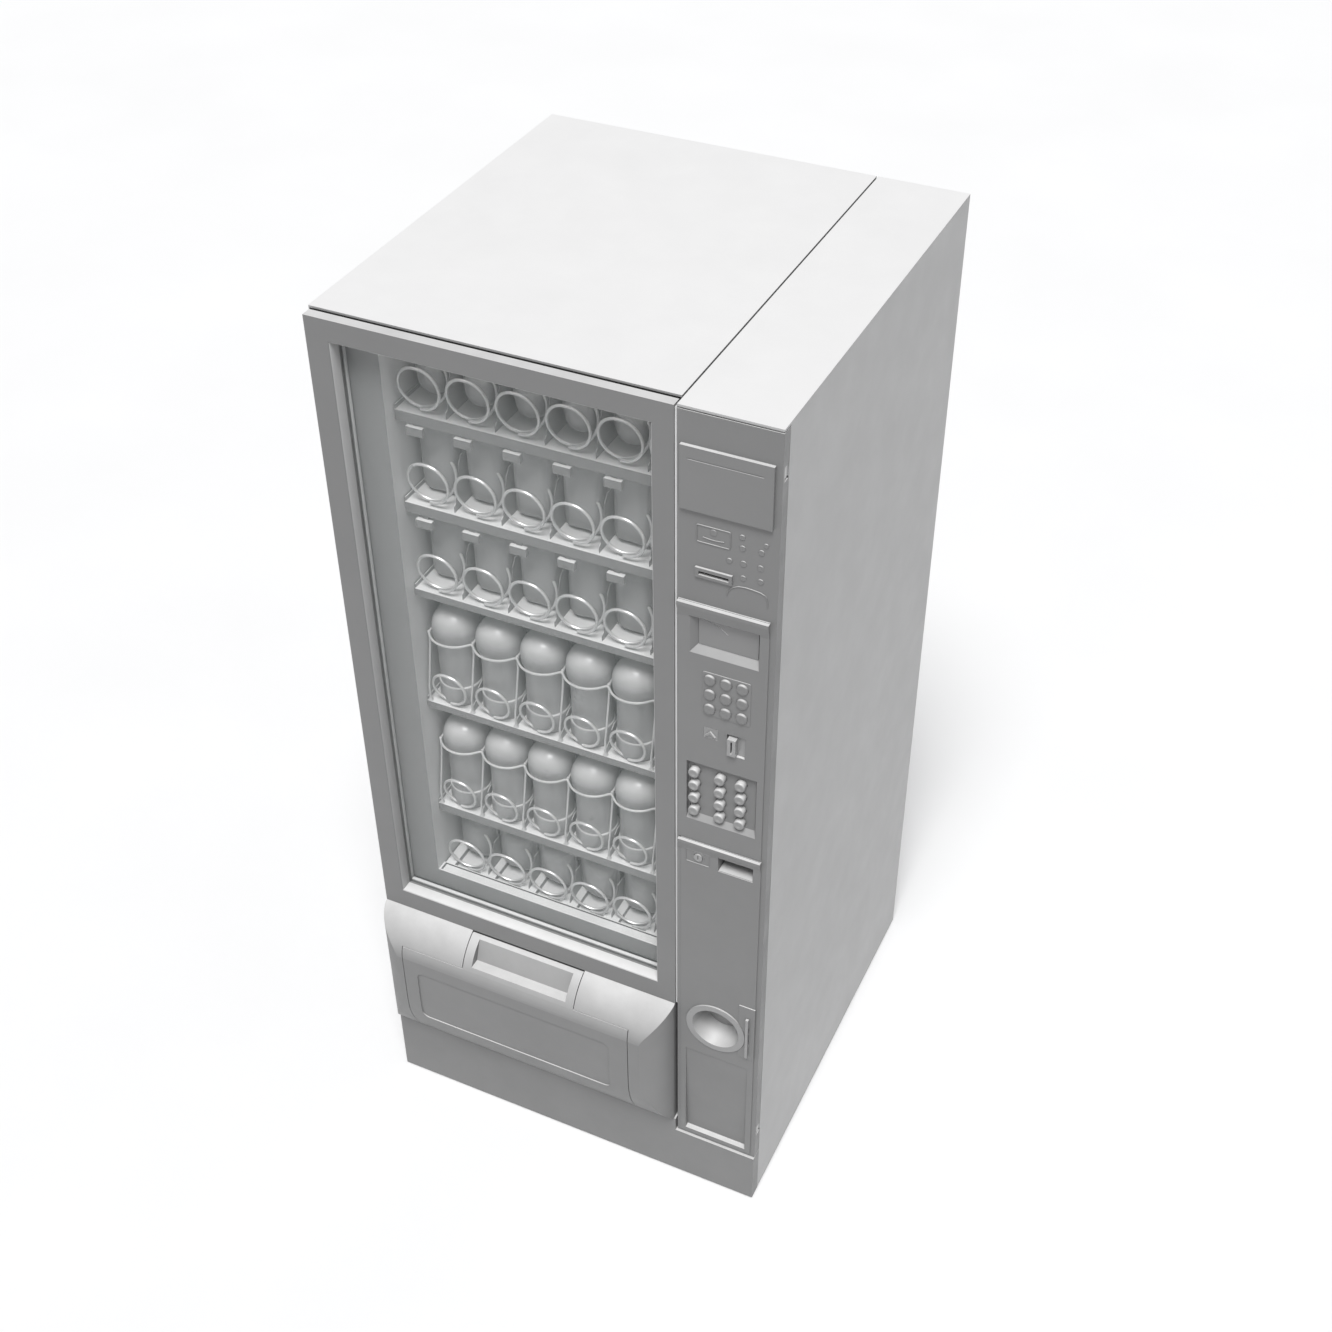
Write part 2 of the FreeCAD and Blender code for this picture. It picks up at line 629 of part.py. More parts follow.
outer = pod(0.0, 19.0)
inner = pod(4.0, 25.0)
inner6 = pod(7.0, 25.0)
FX0, FX1, FZ0, FZ1 = 67.0, 568.0, 197.0, 452.0      # flap outline
TX0, TX1 = 205.0, 450.0                              # raised tab of the flap


def bx(x0, x1, y0, y1, z0, z1):
    return Part.makeBox(x1 - x0, y1 - y0, z1 - z0, Vector(x0, y0, z0))


g = 1.5
shell = outer.cut(inner)
hole = bx(FX0 - g, FX1 + g, -80, 16.0, FZ0 - 4.0, FZ1 + g).fuse(bx(TX0 - g, TX1 + g, -80, 4.0, FZ1 - 5.0, 520.0))
shell = shell.cut(hole)
AY, AZ = -27.0, 206.0                                # flap hinge line
for x0, x1 in ((56.0, FX0 - g), (FX1 + g, 579.0)):
    boss = bx(x0, x1, -34.0, -20.0, 178.0, 213.0).common(outer)
    shell = shell.fuse(boss)
shell = shell.cut(Part.makeCylinder(3.06, 560.0, Vector(40.0, AY, AZ), Vector(1, 0, 0)))
final("chute_surround", feature(shell))

# delivery_flap: outer skin with a raised tab, finger scoop and lip, hinged along its lower edge
skin = outer.cut(inner6).common(bx(FX0, FX1, -80, 10.0, FZ0, FZ1))
tab = outer.common(bx(TX0, TX1, -80.0, -0.6, 430.0, 509.0))
scoop = Part.Face(Part.makePolygon([Vector(0, -80, 462), Vector(0, -27, 462), Vector(0, -9, 511), Vector(0, -80, 511), Vector(0, -80, 462)])).extrude(Vector(208, 0, 0))
scoop.translate(Vector(224, 0, 0))
flap = skin.fuse(tab).cut(scoop)
# shallow inner panel
window = bx(97.0, 527.0, -80.0, 0.0, 258.0, 394.0)
window = window.makeFillet(15.0, [e for e in window.Edges if abs(e.tangentAt(e.FirstParameter).y) > 0.99])
flap = flap.cut(outer.cut(pod(2.6, 25.0)).common(window))
barrel = Part.makeCylinder(4.0, FX1 - FX0, Vector(FX0, AY, AZ), Vector(1, 0, 0))
pins = Part.makeCylinder(3.0, FX1 - FX0 + 2 * 8.0, Vector(FX0 - 8.0, AY, AZ), Vector(1, 0, 0))
flap = flap.fuse([barrel, pins])
final("delivery_flap", feature(flap))

# delivery_bin: back flange and hopper behind the flap, open at the top for falling goods
bin_box = cut(fuse(box(70.0, 566.0, 16.0, 185.0, 192.0, 498.0), box(10.0, 637.5, 16.0, 19.0, 176.0, 503.0)),
              box(73.0, 563.0, 10.0, 182.0, 204.0, 494.0), box(73.0, 563.0, 40.0, 182.0, 300.0, 520.0))
pivot_holes = cyl(60.0, 168.0, 478.0, S["pin_bore"], 520.0, "x")
bin_floor = prism([(-14.0, 214.0), (-14.0, 217.0), (30.0, 204.0), (30.0, 200.0), (16.0, 200.0), (16.0, 205.1)], 73.0, 563.0, "x")
final("delivery_bin", cut(fuse(bin_box, bin_floor), pivot_holes))

# anti_theft_baffle: plate hung in the bin, swung forward over the drop shaft while the flap is open
final("anti_theft_baffle", fuse(box(76.0, 560.0, 166.0, 169.0, 340.0, 478.0), cyl(76.0, 168.0, 478.0, 4.5, 484.0, "x"),
                                cyl(70.5, 168.0, 478.0, S["pin_radius"], 495.0, "x")))

# ================================================================ payment column door
CL = S["column_left"]
b = body("column_door_frame")
s = sketch(b, "XZ_Plane", 0.0)
rect(s, CL, W - 0.01, S["column_bottom"], S["column_top"])
pad(b, s, S["column_thick"], True)
s = sketch(b, "XZ_Plane", 3.0)
rect(s, CL + 4.0, 800.0, S["column_bottom"] + 4.0, S["column_top"] - 4.0)
pocket(b, s, 30.0)
s = sketch(b, "XZ_Plane", -1.0)
rect(s, 661.0, 798.0, 1003.0, 1463.0)      # behind the selection panel
pocket(b, s, 6.0)
s = sketch(b, "XZ_Plane", -1.0)
rect(s, 661.0, 798.0, 143.0, 946.0)        # behind the service panel
pocket(b, s, 6.0)
s = sketch(b, "XZ_Plane", -4.0)
rect(s, 680.0, 742.0, 1533.0, 1551.0)      # raised lip round the banknote slot
pad(b, s, 4.5, True)
s = sketch(b, "XZ_Plane", -5.0)
rect(s, 686.0, 736.5, 1538.0, 1545.0)
pocket(b, s, 10.0)
for z in (197.0, 1737.0):
    s = sketch(b, "XZ_Plane", 5.0)
    rect(s, 799.0, W + 2.0, z, z + 26.0)
    pocket(b, s, 20.0)
    s = sketch(b, "XY_Plane", z - 12.0)
    circle(s, QX, QY, S["pin_bore"] - 0.5)
    pocket(b, s, 50.0, True)

# header_panel: raised plaque at the top of the column with a step line
b = body("header_panel")
s = sketch(b, "XZ_Plane", -6.5)
rect(s, 655.0, 806.0, 1655.0, 1767.0)
pad(b, s, 6.5, True)
s = sketch(b, "XZ_Plane", -7.0)
rect(s, 668.0, 790.0, 1744.5, 1747.0)
pocket(b, s, 1.3)

# selection_panel: brow at the top, display recess, entry recess and key recess
panel = fuse(box(651.0, 806.5, -2.0, 0.0, 964.0, 1481.0),
             box(664.0, 795.0, 0.0, 13.0, 1372.0, 1459.0),
             box(664.0, 797.0, 0.0, 11.0, 1006.0, 1158.0),
             box(664.0, 797.0, 0.0, 5.0, 1006.0, 1459.0),
             prism([(-2.0, 1450.0), (-9.0, 1474.0), (-9.0, 1480.0), (-2.0, 1480.0)], 651.0, 806.5, "x"))
tools = [frustum(-3.0, (670.0, 791.0, 1379.0, 1456.0), 9.0, (682.0, 786.0, 1393.0, 1448.0)),
         box(682.0, 786.0, 8.0, 10.0, 1393.0, 1448.0), box(684.0, 784.0, 8.0, 14.0, 1395.0, 1446.0),
         frustum(-3.0, (666.5, 795.0, 1012.0, 1146.0), 6.0, (667.0, 790.0, 1024.0, 1141.0)),
         box(739.0, 771.0, -3.0, 20.0, 1186.0, 1230.0),
         box(697.0, 723.0, -3.0, 20.0, 1209.0, 1231.0)]
KX = [680.0, 727.0, 764.5]
KZ = [Q(1122.0, "(1122)") - S["key_pitch"] * k for k in range(4)]
for x in KX:
    for z in KZ:
        tools.append(cyl(x, -3.0, z, S["key_radius"] + S["key_gap"], 20.0))
final("selection_panel", cut(panel, *tools))

b = plate_xz("display_window", 7.9, 1.9, 682.5, 785.5, 1393.5, 1447.5)

# letter_pad: one-piece moulded dome mat, three by three
b = body("letter_pad")
s = sketch(b, "XZ_Plane", -3.0)
rect(s, 694.0, 779.0, 1259.0, 1349.0)
pad(b, s, 1.0, True)
s = sketch(b, "XZ_Plane", -7.5)
for x in (707.5, 736.0, 764.5):
    for z in (1334.5, 1304.0, 1273.5):
        circle(s, x, z, 10.3)
pad(b, s, 4.6, True)

# coin_entry: metal slot block in its recess
final("coin_entry", cut(fuse(box(739.2, 770.8, 3.0, 7.0, 1186.2, 1229.8), box(742.0, 757.0, -9.0, 4.0, 1190.0, 1225.0)),
                        box(748.0, 751.0, -12.0, 12.0, 1195.0, 1221.0)))

# coin_return_button: square push with a raised chevron
chev = prism([(701.0, 1216.0), (710.0, 1226.0), (719.0, 1216.0), (714.5, 1216.0), (710.0, 1221.0), (705.5, 1216.0)], -5.5, -1.0, "y")
final("coin_return_button", fuse(box(697.4, 722.6, -2.0, 6.0, 1209.4, 1230.6), chev, box(700.0, 720.0, 5.0, 9.0, 1212.0, 1228.0)))

# twelve keys, each a dished cap on a flanged plunger
n = 0
for z in KZ:
    for x in KX:
        n += 1
        final("key_%d" % n, fuse(cyl(x, -4.5, z, S["key_radius"], 17.0), cone(x, -6.0, z, S["key_radius"] - 2.0, S["key_radius"], 1.5),
                                 cyl(x, 11.3, z, S["key_radius"] + 1.6, 1.4)))

# service_panel: brow, open pocket, cup hole, slot of the lever and the recessed lower field
sp = fuse(box(656.0, 807.5, -2.0, 0.0, 138.0, 962.0), box(663.0, 797.5, 0.0, 6.0, 145.0, 944.0), box(664.0, 797.0, 5.0, 11.5, 145.0, 402.0),
          prism([(-2.0, 936.0), (-8.0, 955.0), (-8.0, 961.0), (-2.0, 961.0)], 652.0, 807.0, "x"),
          box(776.0, 808.0, -4.0, -1.0, 432.0, 577.0),
          box(724.0, 796.0, 0.0, 44.0, 903.0, 943.9))
sp_tools = [box(727.5, 793.0, -12.0, 41.0, 906.5, 941.0),
            prism([(-6.0, 148.5), (9.0, 148.5), (-0.6, 398.0), (-6.0, 398.0)], 667.0, 795.5, "x"),
            cyl(729.0, -6.0, 486.0, 55.0, 20.0), cyl(690.0, -8.0, 925.5, 8.35, 30.0),
            box(791.0, 797.5, -8.0, 20.0, 470.0, 520.0), cyl(729.0, -6.0, 486.0, 60.6, 4.0)]
final("service_panel", cut(sp, *sp_tools))

# coin_cup: ring and bowl where the change drops
cup = cut(fuse(cyl(729.0, -5.0, 486.0, 60.0, 3.0), cyl(729.0, -4.0, 486.0, 54.5, 12.0), cone(729.0, 6.0, 486.0, 52.0, 44.0, 40.0)),
          cone(729.0, -5.2, 486.0, 47.5, 36.0, 46.0), box(715.0, 743.0, 20.0, 60.0, 498.0, 518.0))
final("coin_cup", cup)

# release_lever: slim bar that slides down in its slot to release stuck coins
final("release_lever", fuse(box(791.6, 796.9, -10.0, -4.6, 440.0, 548.0), box(791.6, 796.9, -5.0, 9.0, 487.0, 503.0), box(786.0, 797.4, 8.2, 11.2, 480.0, 510.0)))

# lock_barrel: key cylinder with its cam behind the door skin
final("lock_barrel", cut(fuse(cyl(690.0, -5.0, 925.5, 8.0, 31.0), box(655.0, 690.0, 22.5, 26.0, 919.5, 931.5), cyl(690.0, 22.5, 925.5, 6.0, 3.5)),
                         box(689.2, 690.8, -6.0, -1.0, 920.0, 931.0)))

# ================================================================ payment units inside the column
changer = fuse(box(660.0, 664.0, 60.0, 180.0, 880.0, 1250.0), box(663.0, 790.0, 60.0, 170.0, 880.0, 1150.0),
               box(680.0, 770.0, 70.0, 160.0, 1149.0, 1236.0))
tubes = [cyl(684.0 + 22.0 * k, 59.0, 900.0, 9.0, 220.0, "z") for k in range(5)]
final("coin_changer", cut(changer, *tubes, box(742.0, 757.0, 60.0, 160.0, 1200.0, 1240.0)))
final("bill_validator", cut(fuse(box(660.0, 664.0, 40.0, 170.0, 1500.0, 1660.0), box(663.0, 760.0, 36.0, 150.0, 1500.0, 1640.0), box(680.0, 742.0, 24.0, 37.0, 1528.0, 1556.0)),
                            box(686.0, 736.0, 20.0, 120.0, 1538.0, 1546.0)))

# power_inlet: shrouded mains inlet in the back panel
final("power_inlet", cut(fuse(box(120.5, 167.5, 805.0, D - 0.2, 240.5, 269.5), box(114.0, 174.0, D - T - 4.0, D - T, 234.0, 276.0)),
                         box(126.0, 162.0, 815.0, 840.0, 245.0, 265.0)))

doc.recompute()

# ================================================================ checks and export
bad = [o.Label for o in doc.Objects if "Invalid" in o.State or "Error" in o.State]
if bad:
    raise RuntimeError("failed objects: %s" % bad)
total = 0.0
for label, o in FINAL.items():
    sh = o.Shape
    if sh.isNull() or not sh.isValid() or not sh.Solids:
        raise RuntimeError("bad shape: %s" % label)
    total += sh.Volume
os.makedirs("parts", exist_ok=True)
for old in os.listdir("parts"):
    if old.endswith(".step"):
        os.remove(os.path.join("parts", old))
for label, o in FINAL.items():
    o.Shape.exportStep(os.path.join("parts", label + ".step"))
    bb = o.Shape.BoundBox
    print("%-22s solids %2d  vol %10.1f  x %7.1f %7.1f  y %7.1f %7.1f  z %7.1f %7.1f" % (
        label, len(o.Shape.Solids), o.Shape.Volume / 1000.0, bb.XMin, bb.XMax, bb.YMin, bb.YMax, bb.ZMin, bb.ZMax))
print("nodes", len(FINAL))
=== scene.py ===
import json
import math
import random

import bpy
import bmesh
import numpy as np
from mathutils import Matrix, Vector, noise


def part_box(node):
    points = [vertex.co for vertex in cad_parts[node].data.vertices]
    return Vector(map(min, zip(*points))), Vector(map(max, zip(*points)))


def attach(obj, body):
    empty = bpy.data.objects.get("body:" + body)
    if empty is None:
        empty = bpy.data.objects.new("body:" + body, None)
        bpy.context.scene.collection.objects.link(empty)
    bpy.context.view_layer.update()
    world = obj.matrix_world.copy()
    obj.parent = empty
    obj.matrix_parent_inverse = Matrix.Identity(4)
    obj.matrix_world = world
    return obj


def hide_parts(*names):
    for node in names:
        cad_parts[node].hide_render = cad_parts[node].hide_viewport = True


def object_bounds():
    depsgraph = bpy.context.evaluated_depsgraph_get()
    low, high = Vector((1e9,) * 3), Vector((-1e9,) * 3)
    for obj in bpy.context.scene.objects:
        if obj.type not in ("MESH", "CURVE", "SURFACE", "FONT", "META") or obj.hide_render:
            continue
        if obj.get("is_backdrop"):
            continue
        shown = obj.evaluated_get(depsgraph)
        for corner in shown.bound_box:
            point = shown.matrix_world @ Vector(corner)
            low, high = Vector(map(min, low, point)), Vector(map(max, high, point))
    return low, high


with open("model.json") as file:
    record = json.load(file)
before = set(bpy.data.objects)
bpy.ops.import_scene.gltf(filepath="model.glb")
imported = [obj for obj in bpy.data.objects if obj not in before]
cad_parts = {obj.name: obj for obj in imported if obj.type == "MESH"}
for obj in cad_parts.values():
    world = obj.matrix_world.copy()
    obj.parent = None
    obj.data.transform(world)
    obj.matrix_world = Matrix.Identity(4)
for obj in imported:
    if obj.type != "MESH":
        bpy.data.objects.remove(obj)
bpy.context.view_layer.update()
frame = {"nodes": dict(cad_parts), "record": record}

NODES = frame["nodes"]
SLOT_OF = {s["node"]: s["material_slot"] for s in frame["record"]["subparts"]}
scene = bpy.context.scene


def P(x, y, z):
    """Millimetres from the cabinet's left, front and floor corner, as a point in the row frame."""
    return Vector(((x - 408.5) / 1000.0, (y - 389.0) / 1000.0, z / 1000.0))


# ---------------------------------------------------------------- materials
def _mat(name):
    m = bpy.data.materials.new(name)
    m.use_nodes = True
    nt = m.node_tree
    for n in list(nt.nodes):
        nt.nodes.remove(n)
    out = nt.nodes.new("ShaderNodeOutputMaterial")
    bsdf = nt.nodes.new("ShaderNodeBsdfPrincipled")
    nt.links.new(bsdf.outputs["BSDF"], out.inputs["Surface"])
    return m, nt, bsdf


def _noise(nt, coord, scale, detail=3.0, rough=0.5, stretch=None):
    src = coord
    if stretch:
        mp = nt.nodes.new("ShaderNodeMapping")
        mp.inputs["Scale"].default_value = stretch
        nt.links.new(coord, mp.inputs["Vector"])
        src = mp.outputs["Vector"]
    n = nt.nodes.new("ShaderNodeTexNoise")
    n.inputs["Scale"].default_value = scale
    n.inputs["Detail"].default_value = detail
    n.inputs["Roughness"].default_value = rough
    nt.links.new(src, n.inputs["Vector"])
    return n.outputs["Fac"]


def _range(nt, fac, lo, hi, a=0.3, b=0.7):
    r = nt.nodes.new("ShaderNodeMapRange")
    r.inputs["From Min"].default_value = a
    r.inputs["From Max"].default_value = b
    r.inputs["To Min"].default_value = lo
    r.inputs["To Max"].default_value = hi
    nt.links.new(fac, r.inputs["Value"])
    return r.outputs["Result"]


def _mix(nt, fac, c1, c2):
    m = nt.nodes.new("ShaderNodeMix")
    m.data_type = "RGBA"
    for sock, c in ((6, c1), (7, c2)):
        if isinstance(c, tuple):
            m.inputs[sock].default_value = c
        else:
            nt.links.new(c, m.inputs[sock])
    nt.links.new(fac, m.inputs[0])
    return m.outputs[2]


def grey(v, warm=0.0):
    return (v * (1 + warm), v, v * (1 - warm), 1.0)


def surface(name, base, rough=0.5, metallic=0.0, var=0.06, grain=900.0, grain_h=0.00003, wave=0.0,
            bevel=0.0008, edge=0.10, streak=None, spec=0.5, coat=0.0, painted_top_light=0.05, warm=0.0, island=0.0, painted_top_light_from=0.45, painted_top_light_c=0.86, front=None, even=0.75):
    """Coated, moulded or plated surface: tone drift, fine texture, handled edges, painted light on faces that look up
    and, where asked, painted shade on faces towards the front.
    """
    m, nt, b = _mat(name)
    tc = nt.nodes.new("ShaderNodeTexCoord").outputs["Object"]
    geo = nt.nodes.new("ShaderNodeNewGeometry")
    big = _range(nt, _noise(nt, tc, 3.2, 4.0), 0.0, 1.0)
    col = _mix(nt, big, grey(base * (1 - var), warm), grey(min(1, base * (1 + var)), warm))
    fine = _noise(nt, tc, grain, 2.0)
    spk = _range(nt, fine, 0.0, 0.35, 0.45, 0.8)
    col = _mix(nt, spk, col, grey(base * 0.86, warm))
    if island:
        isl = _range(nt, geo.outputs["Random Per Island"], 0.0, 1.0, 0.0, 1.0)
        hi = nt.nodes.new("ShaderNodeMix"); hi.data_type = "RGBA"; hi.blend_type = "MULTIPLY"
        hi.inputs[0].default_value = 1.0
        nt.links.new(col, hi.inputs[6])
        nt.links.new(_mix(nt, isl, grey(1 - island), grey(1.0)), hi.inputs[7])
        col = hi.outputs[2]
    # painted shade: the faces towards the front are made a darker grey than the walls between them
    if front is not None:
        fs = nt.nodes.new("ShaderNodeSeparateXYZ")
        nt.links.new(geo.outputs["Normal"], fs.inputs[0])
        ab = nt.nodes.new("ShaderNodeMath"); ab.operation = "ABSOLUTE"
        nt.links.new(fs.outputs["Y"], ab.inputs[0])
        col = _mix(nt, _range(nt, ab.outputs[0], 0.0, 1.0, 0.35, 0.9), col, grey(front, warm))
    normal = None
    if bevel:
        bv = nt.nodes.new("ShaderNodeBevel")
        bv.samples = 4
        bv.inputs["Radius"].default_value = bevel
        dot = nt.nodes.new("ShaderNodeVectorMath"); dot.operation = "DOT_PRODUCT"
        nt.links.new(bv.outputs["Normal"], dot.inputs[0])
        nt.links.new(geo.outputs["Normal"], dot.inputs[1])
        rim = _range(nt, dot.outputs["Value"], 1.0, 0.0, 0.75, 0.985)
        worn = nt.nodes.new("ShaderNodeMath"); worn.operation = "MULTIPLY"
        nt.links.new(rim, worn.inputs[0])
        nt.links.new(_range(nt, _noise(nt, tc, 38.0, 4.0, 0.6), 0.25, 1.0, 0.35, 0.7), worn.inputs[1])
        col = _mix(nt, worn.outputs[0], col, grey(min(0.95, base * (1 + edge) + 0.04), warm))
        normal = bv.outputs["Normal"]
    # painted light: faces that look up are made lighter, with faint mottling
    if painted_top_light:
        sep = nt.nodes.new("ShaderNodeSeparateXYZ")
        nt.links.new(geo.outputs["Normal"], sep.inputs[0])
        up = _range(nt, sep.outputs["Z"], 0.0, painted_top_light, painted_top_light_from, 1.0)
        dm = nt.nodes.new("ShaderNodeMath"); dm.operation = "MULTIPLY"
        nt.links.new(up, dm.inputs[0])
        nt.links.new(_range(nt, _noise(nt, tc, 9.0, 5.0, 0.65), even, 1.0), dm.inputs[1])
        col = _mix(nt, dm.outputs[0], col, grey(painted_top_light_c, 0.005))
    nt.links.new(col, b.inputs["Base Color"])
    b.inputs["Metallic"].default_value = metallic
    rf = _range(nt, _noise(nt, tc, 14.0, 4.0, 0.6, streak), max(0.03, rough - 0.07), min(1, rough + 0.07))
    nt.links.new(rf, b.inputs["Roughness"])
    b.inputs["Specular IOR Level"].default_value = spec
    if coat:
        b.inputs["Coat Weight"].default_value = coat
        b.inputs["Coat Roughness"].default_value = 0.12
    h = fine
    if streak:
        h = _noise(nt, tc, grain, 2.0, 0.5, streak)
    bump = nt.nodes.new("ShaderNodeBump")
    bump.inputs["Strength"].default_value = 1.0
    bump.inputs["Distance"].default_value = grain_h
    nt.links.new(h, bump.inputs["Height"])
    if normal is not None:
        nt.links.new(normal, bump.inputs["Normal"])
    last = bump.outputs["Normal"]
    if wave:
        b2 = nt.nodes.new("ShaderNodeBump")
        b2.inputs["Strength"].default_value = 1.0
        b2.inputs["Distance"].default_value = wave
        nt.links.new(_noise(nt, tc, 26.0, 4.0, 0.55), b2.inputs["Height"])
        nt.links.new(last, b2.inputs["Normal"])
        last = b2.outputs["Normal"]
    nt.links.new(last, b.inputs["Normal"])
    return m


def glass_mat():
    m, nt, b = _mat("clear_glass")
    tc = nt.nodes.new("ShaderNodeTexCoord").outputs["Object"]
    col = _mix(nt, _range(nt, _noise(nt, tc, 2.0), 0.0, 1.0), (0.86, 0.93, 0.92, 1), (0.93, 0.97, 0.96, 1))
    nt.links.new(col, b.inputs["Base Color"])
    nt.links.new(_range(nt, _noise(nt, tc, 5.0, 4.0, 0.6, (1, 1, 0.15)), 0.015, 0.06), b.inputs["Roughness"])
    b.inputs["Alpha"].default_value = 0.06
    b.inputs["IOR"].default_value = 1.5
    return m


def light_mat():
    m, nt, b = _mat("led_diffuser")
    tc = nt.nodes.new("ShaderNodeTexCoord").outputs["Object"]
    f = _range(nt, _noise(nt, tc, 60.0, 2.0), 0.0, 1.0)
    nt.links.new(_mix(nt, f, (0.90, 0.91, 0.93, 1), (0.96, 0.96, 0.96, 1)), b.inputs["Base Color"])
    b.inputs["Roughness"].default_value = 0.5
    b.inputs["Emission Color"].default_value = (1.0, 0.985, 0.96, 1)
    b.inputs["Emission Strength"].default_value = LED
    return m


LED = 1.6
# the lighter colour on up-facing faces set in these materials is painted light
M = {
    "coated_sheet": surface("coated_sheet", 0.45, 0.50, grain=1100, grain_h=0.00004, wave=0.00006, bevel=0.0010, painted_top_light=0.85, var=0.02, painted_top_light_c=0.93, even=0.95),
    "door_paint": surface("door_paint", 0.205, 0.46, grain=1100, grain_h=0.00004, wave=0.00004, bevel=0.0009, edge=0.45, painted_top_light=0.80, var=0.03),
    # painted shade: tray and liner faces towards the front are darkened
    "tray_sheet": surface("tray_sheet", 0.30, 0.42, front=0.17, grain=900, grain_h=0.00003, wave=0.00006, bevel=0.0006, painted_top_light=0.95, var=0.03),
    "liner_plastic": surface("liner_plastic", 0.52, 0.52, front=0.19, grain=600, grain_h=0.00004, wave=0.00010, bevel=0.0010, painted_top_light=0.95, var=0.03),
    "zinc_plate": surface("zinc_plate", 0.50, 0.42, metallic=0.85, grain=160, grain_h=0.00002, bevel=0.0006, var=0.12),
    "spring_wire": surface("spring_wire", 0.42, 0.34, metallic=0.35, grain=500, grain_h=0.00001, bevel=0.0, var=0.05, painted_top_light=0.9, painted_top_light_from=0.0),
    "clear_glass": glass_mat(),
    "seal_rubber": surface("seal_rubber", 0.20, 0.72, grain=800, grain_h=0.00004, bevel=0.0004, edge=0.3, painted_top_light=0.12),
    "pod_plastic": surface("pod_plastic", 0.218, 0.50, grain=1500, grain_h=0.00006, wave=0.00003, bevel=0.0012, edge=0.35, painted_top_light=0.80, var=0.03, painted_top_light_from=0.0),
    "flap_plastic": surface("flap_plastic", 0.212, 0.50, grain=1500, grain_h=0.00006, wave=0.00003, bevel=0.0010, edge=0.45, painted_top_light=0.80, var=0.03, painted_top_light_from=0.0),
    "bin_plastic": surface("bin_plastic", 0.60, 0.50, grain=900, grain_h=0.00005, bevel=0.0008, painted_top_light=0.0),
    "panel_plastic": surface("panel_plastic", 0.21, 0.52, grain=1700, grain_h=0.00006, bevel=0.0008, edge=0.45, painted_top_light=0.85, var=0.03),
    "key_plastic": surface("key_plastic", 0.26, 0.34, grain=1300, grain_h=0.00002, bevel=0.0, edge=0.1, coat=0.15, painted_top_light=0.95, painted_top_light_from=0.1),
    "display_lens": surface("display_lens", 0.20, 0.14, grain=900, grain_h=0.000005, bevel=0.0004, edge=0.3, coat=0.8, painted_top_light=0.0),
    "polished_steel": surface("polished_steel", 0.32, 0.36, metallic=0.25, grain=420, grain_h=0.000004, bevel=0.0006, streak=(1, 1, 0.04), painted_top_light=0.9, painted_top_light_from=0.15),
    "foot_steel": surface("foot_steel", 0.42, 0.40, metallic=0.9, grain=300, grain_h=0.00003, bevel=0.0006, painted_top_light=0.0),
    "motor_plastic": surface("motor_plastic", 0.12, 0.5, grain=1200, grain_h=0.00005, bevel=0.0006, painted_top_light=0.0),
    "unit_plastic": surface("unit_plastic", 0.10, 0.5, grain=1200, grain_h=0.00005, bevel=0.0008, painted_top_light=0.0),
}
for n, o in NODES.items():
    o.data.materials.clear()
    o.data.materials.append(M[SLOT_OF[n]])
# painted shade on goods faces towards the front, painted light on their tops
GOODS_FOIL = surface("goods_foil", 0.38, 0.38, front=0.24, metallic=0.0, grain=70, grain_h=0.0002, wave=0.0012, bevel=0.0, var=0.05, island=0.15, painted_top_light=0.6, painted_top_light_from=0.2, coat=0.15)
GOODS_CUP = surface("goods_cup", 0.36, 0.34, front=0.22, grain=900, grain_h=0.00001, bevel=0.0, var=0.03, island=0.08, painted_top_light=0.8, painted_top_light_from=0.0, coat=0.2)
LED_MAT = light_mat()
# painted light: pale lining for the shaded window reveals, lighter on faces that look up
M["reveal"] = surface("reveal", 0.46, 0.5, grain=1000, grain_h=0.00004, bevel=0.0, painted_top_light=0.9, var=0.03, painted_top_light_c=0.9)
# painted light: pale strip that fills the shaded door gap
M["gap_light_strip"] = surface("gap_light_strip", 0.62, 0.6, grain=900, grain_h=0.00004, bevel=0.0, painted_top_light=0.2)


# ---------------------------------------------------------------- mesh helpers
def make(name, verts, faces, mat, body=None, smooth=True, replaces=()):
    me = bpy.data.meshes.new(name)
    me.from_pydata([tuple(v) for v in verts], [], [tuple(f) for f in faces])
    me.validate()
    me.update()
    if smooth is True:
        me.polygons.foreach_set("use_smooth", [True] * len(me.polygons))
    me.materials.append(mat)
    o = bpy.data.objects.new(name, me)
    scene.collection.objects.link(o)
    if isinstance(smooth, float):
        bm = bmesh.new(); bm.from_mesh(me)
        for f in bm.faces:
            f.smooth = True
        for e in bm.edges:
            if len(e.link_faces) == 2 and e.calc_face_angle(0.0) > smooth:
                e.smooth = False
        bm.to_mesh(me); bm.free()
    if body:
        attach(o, body)
    if replaces:
        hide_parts(*replaces)
    return o


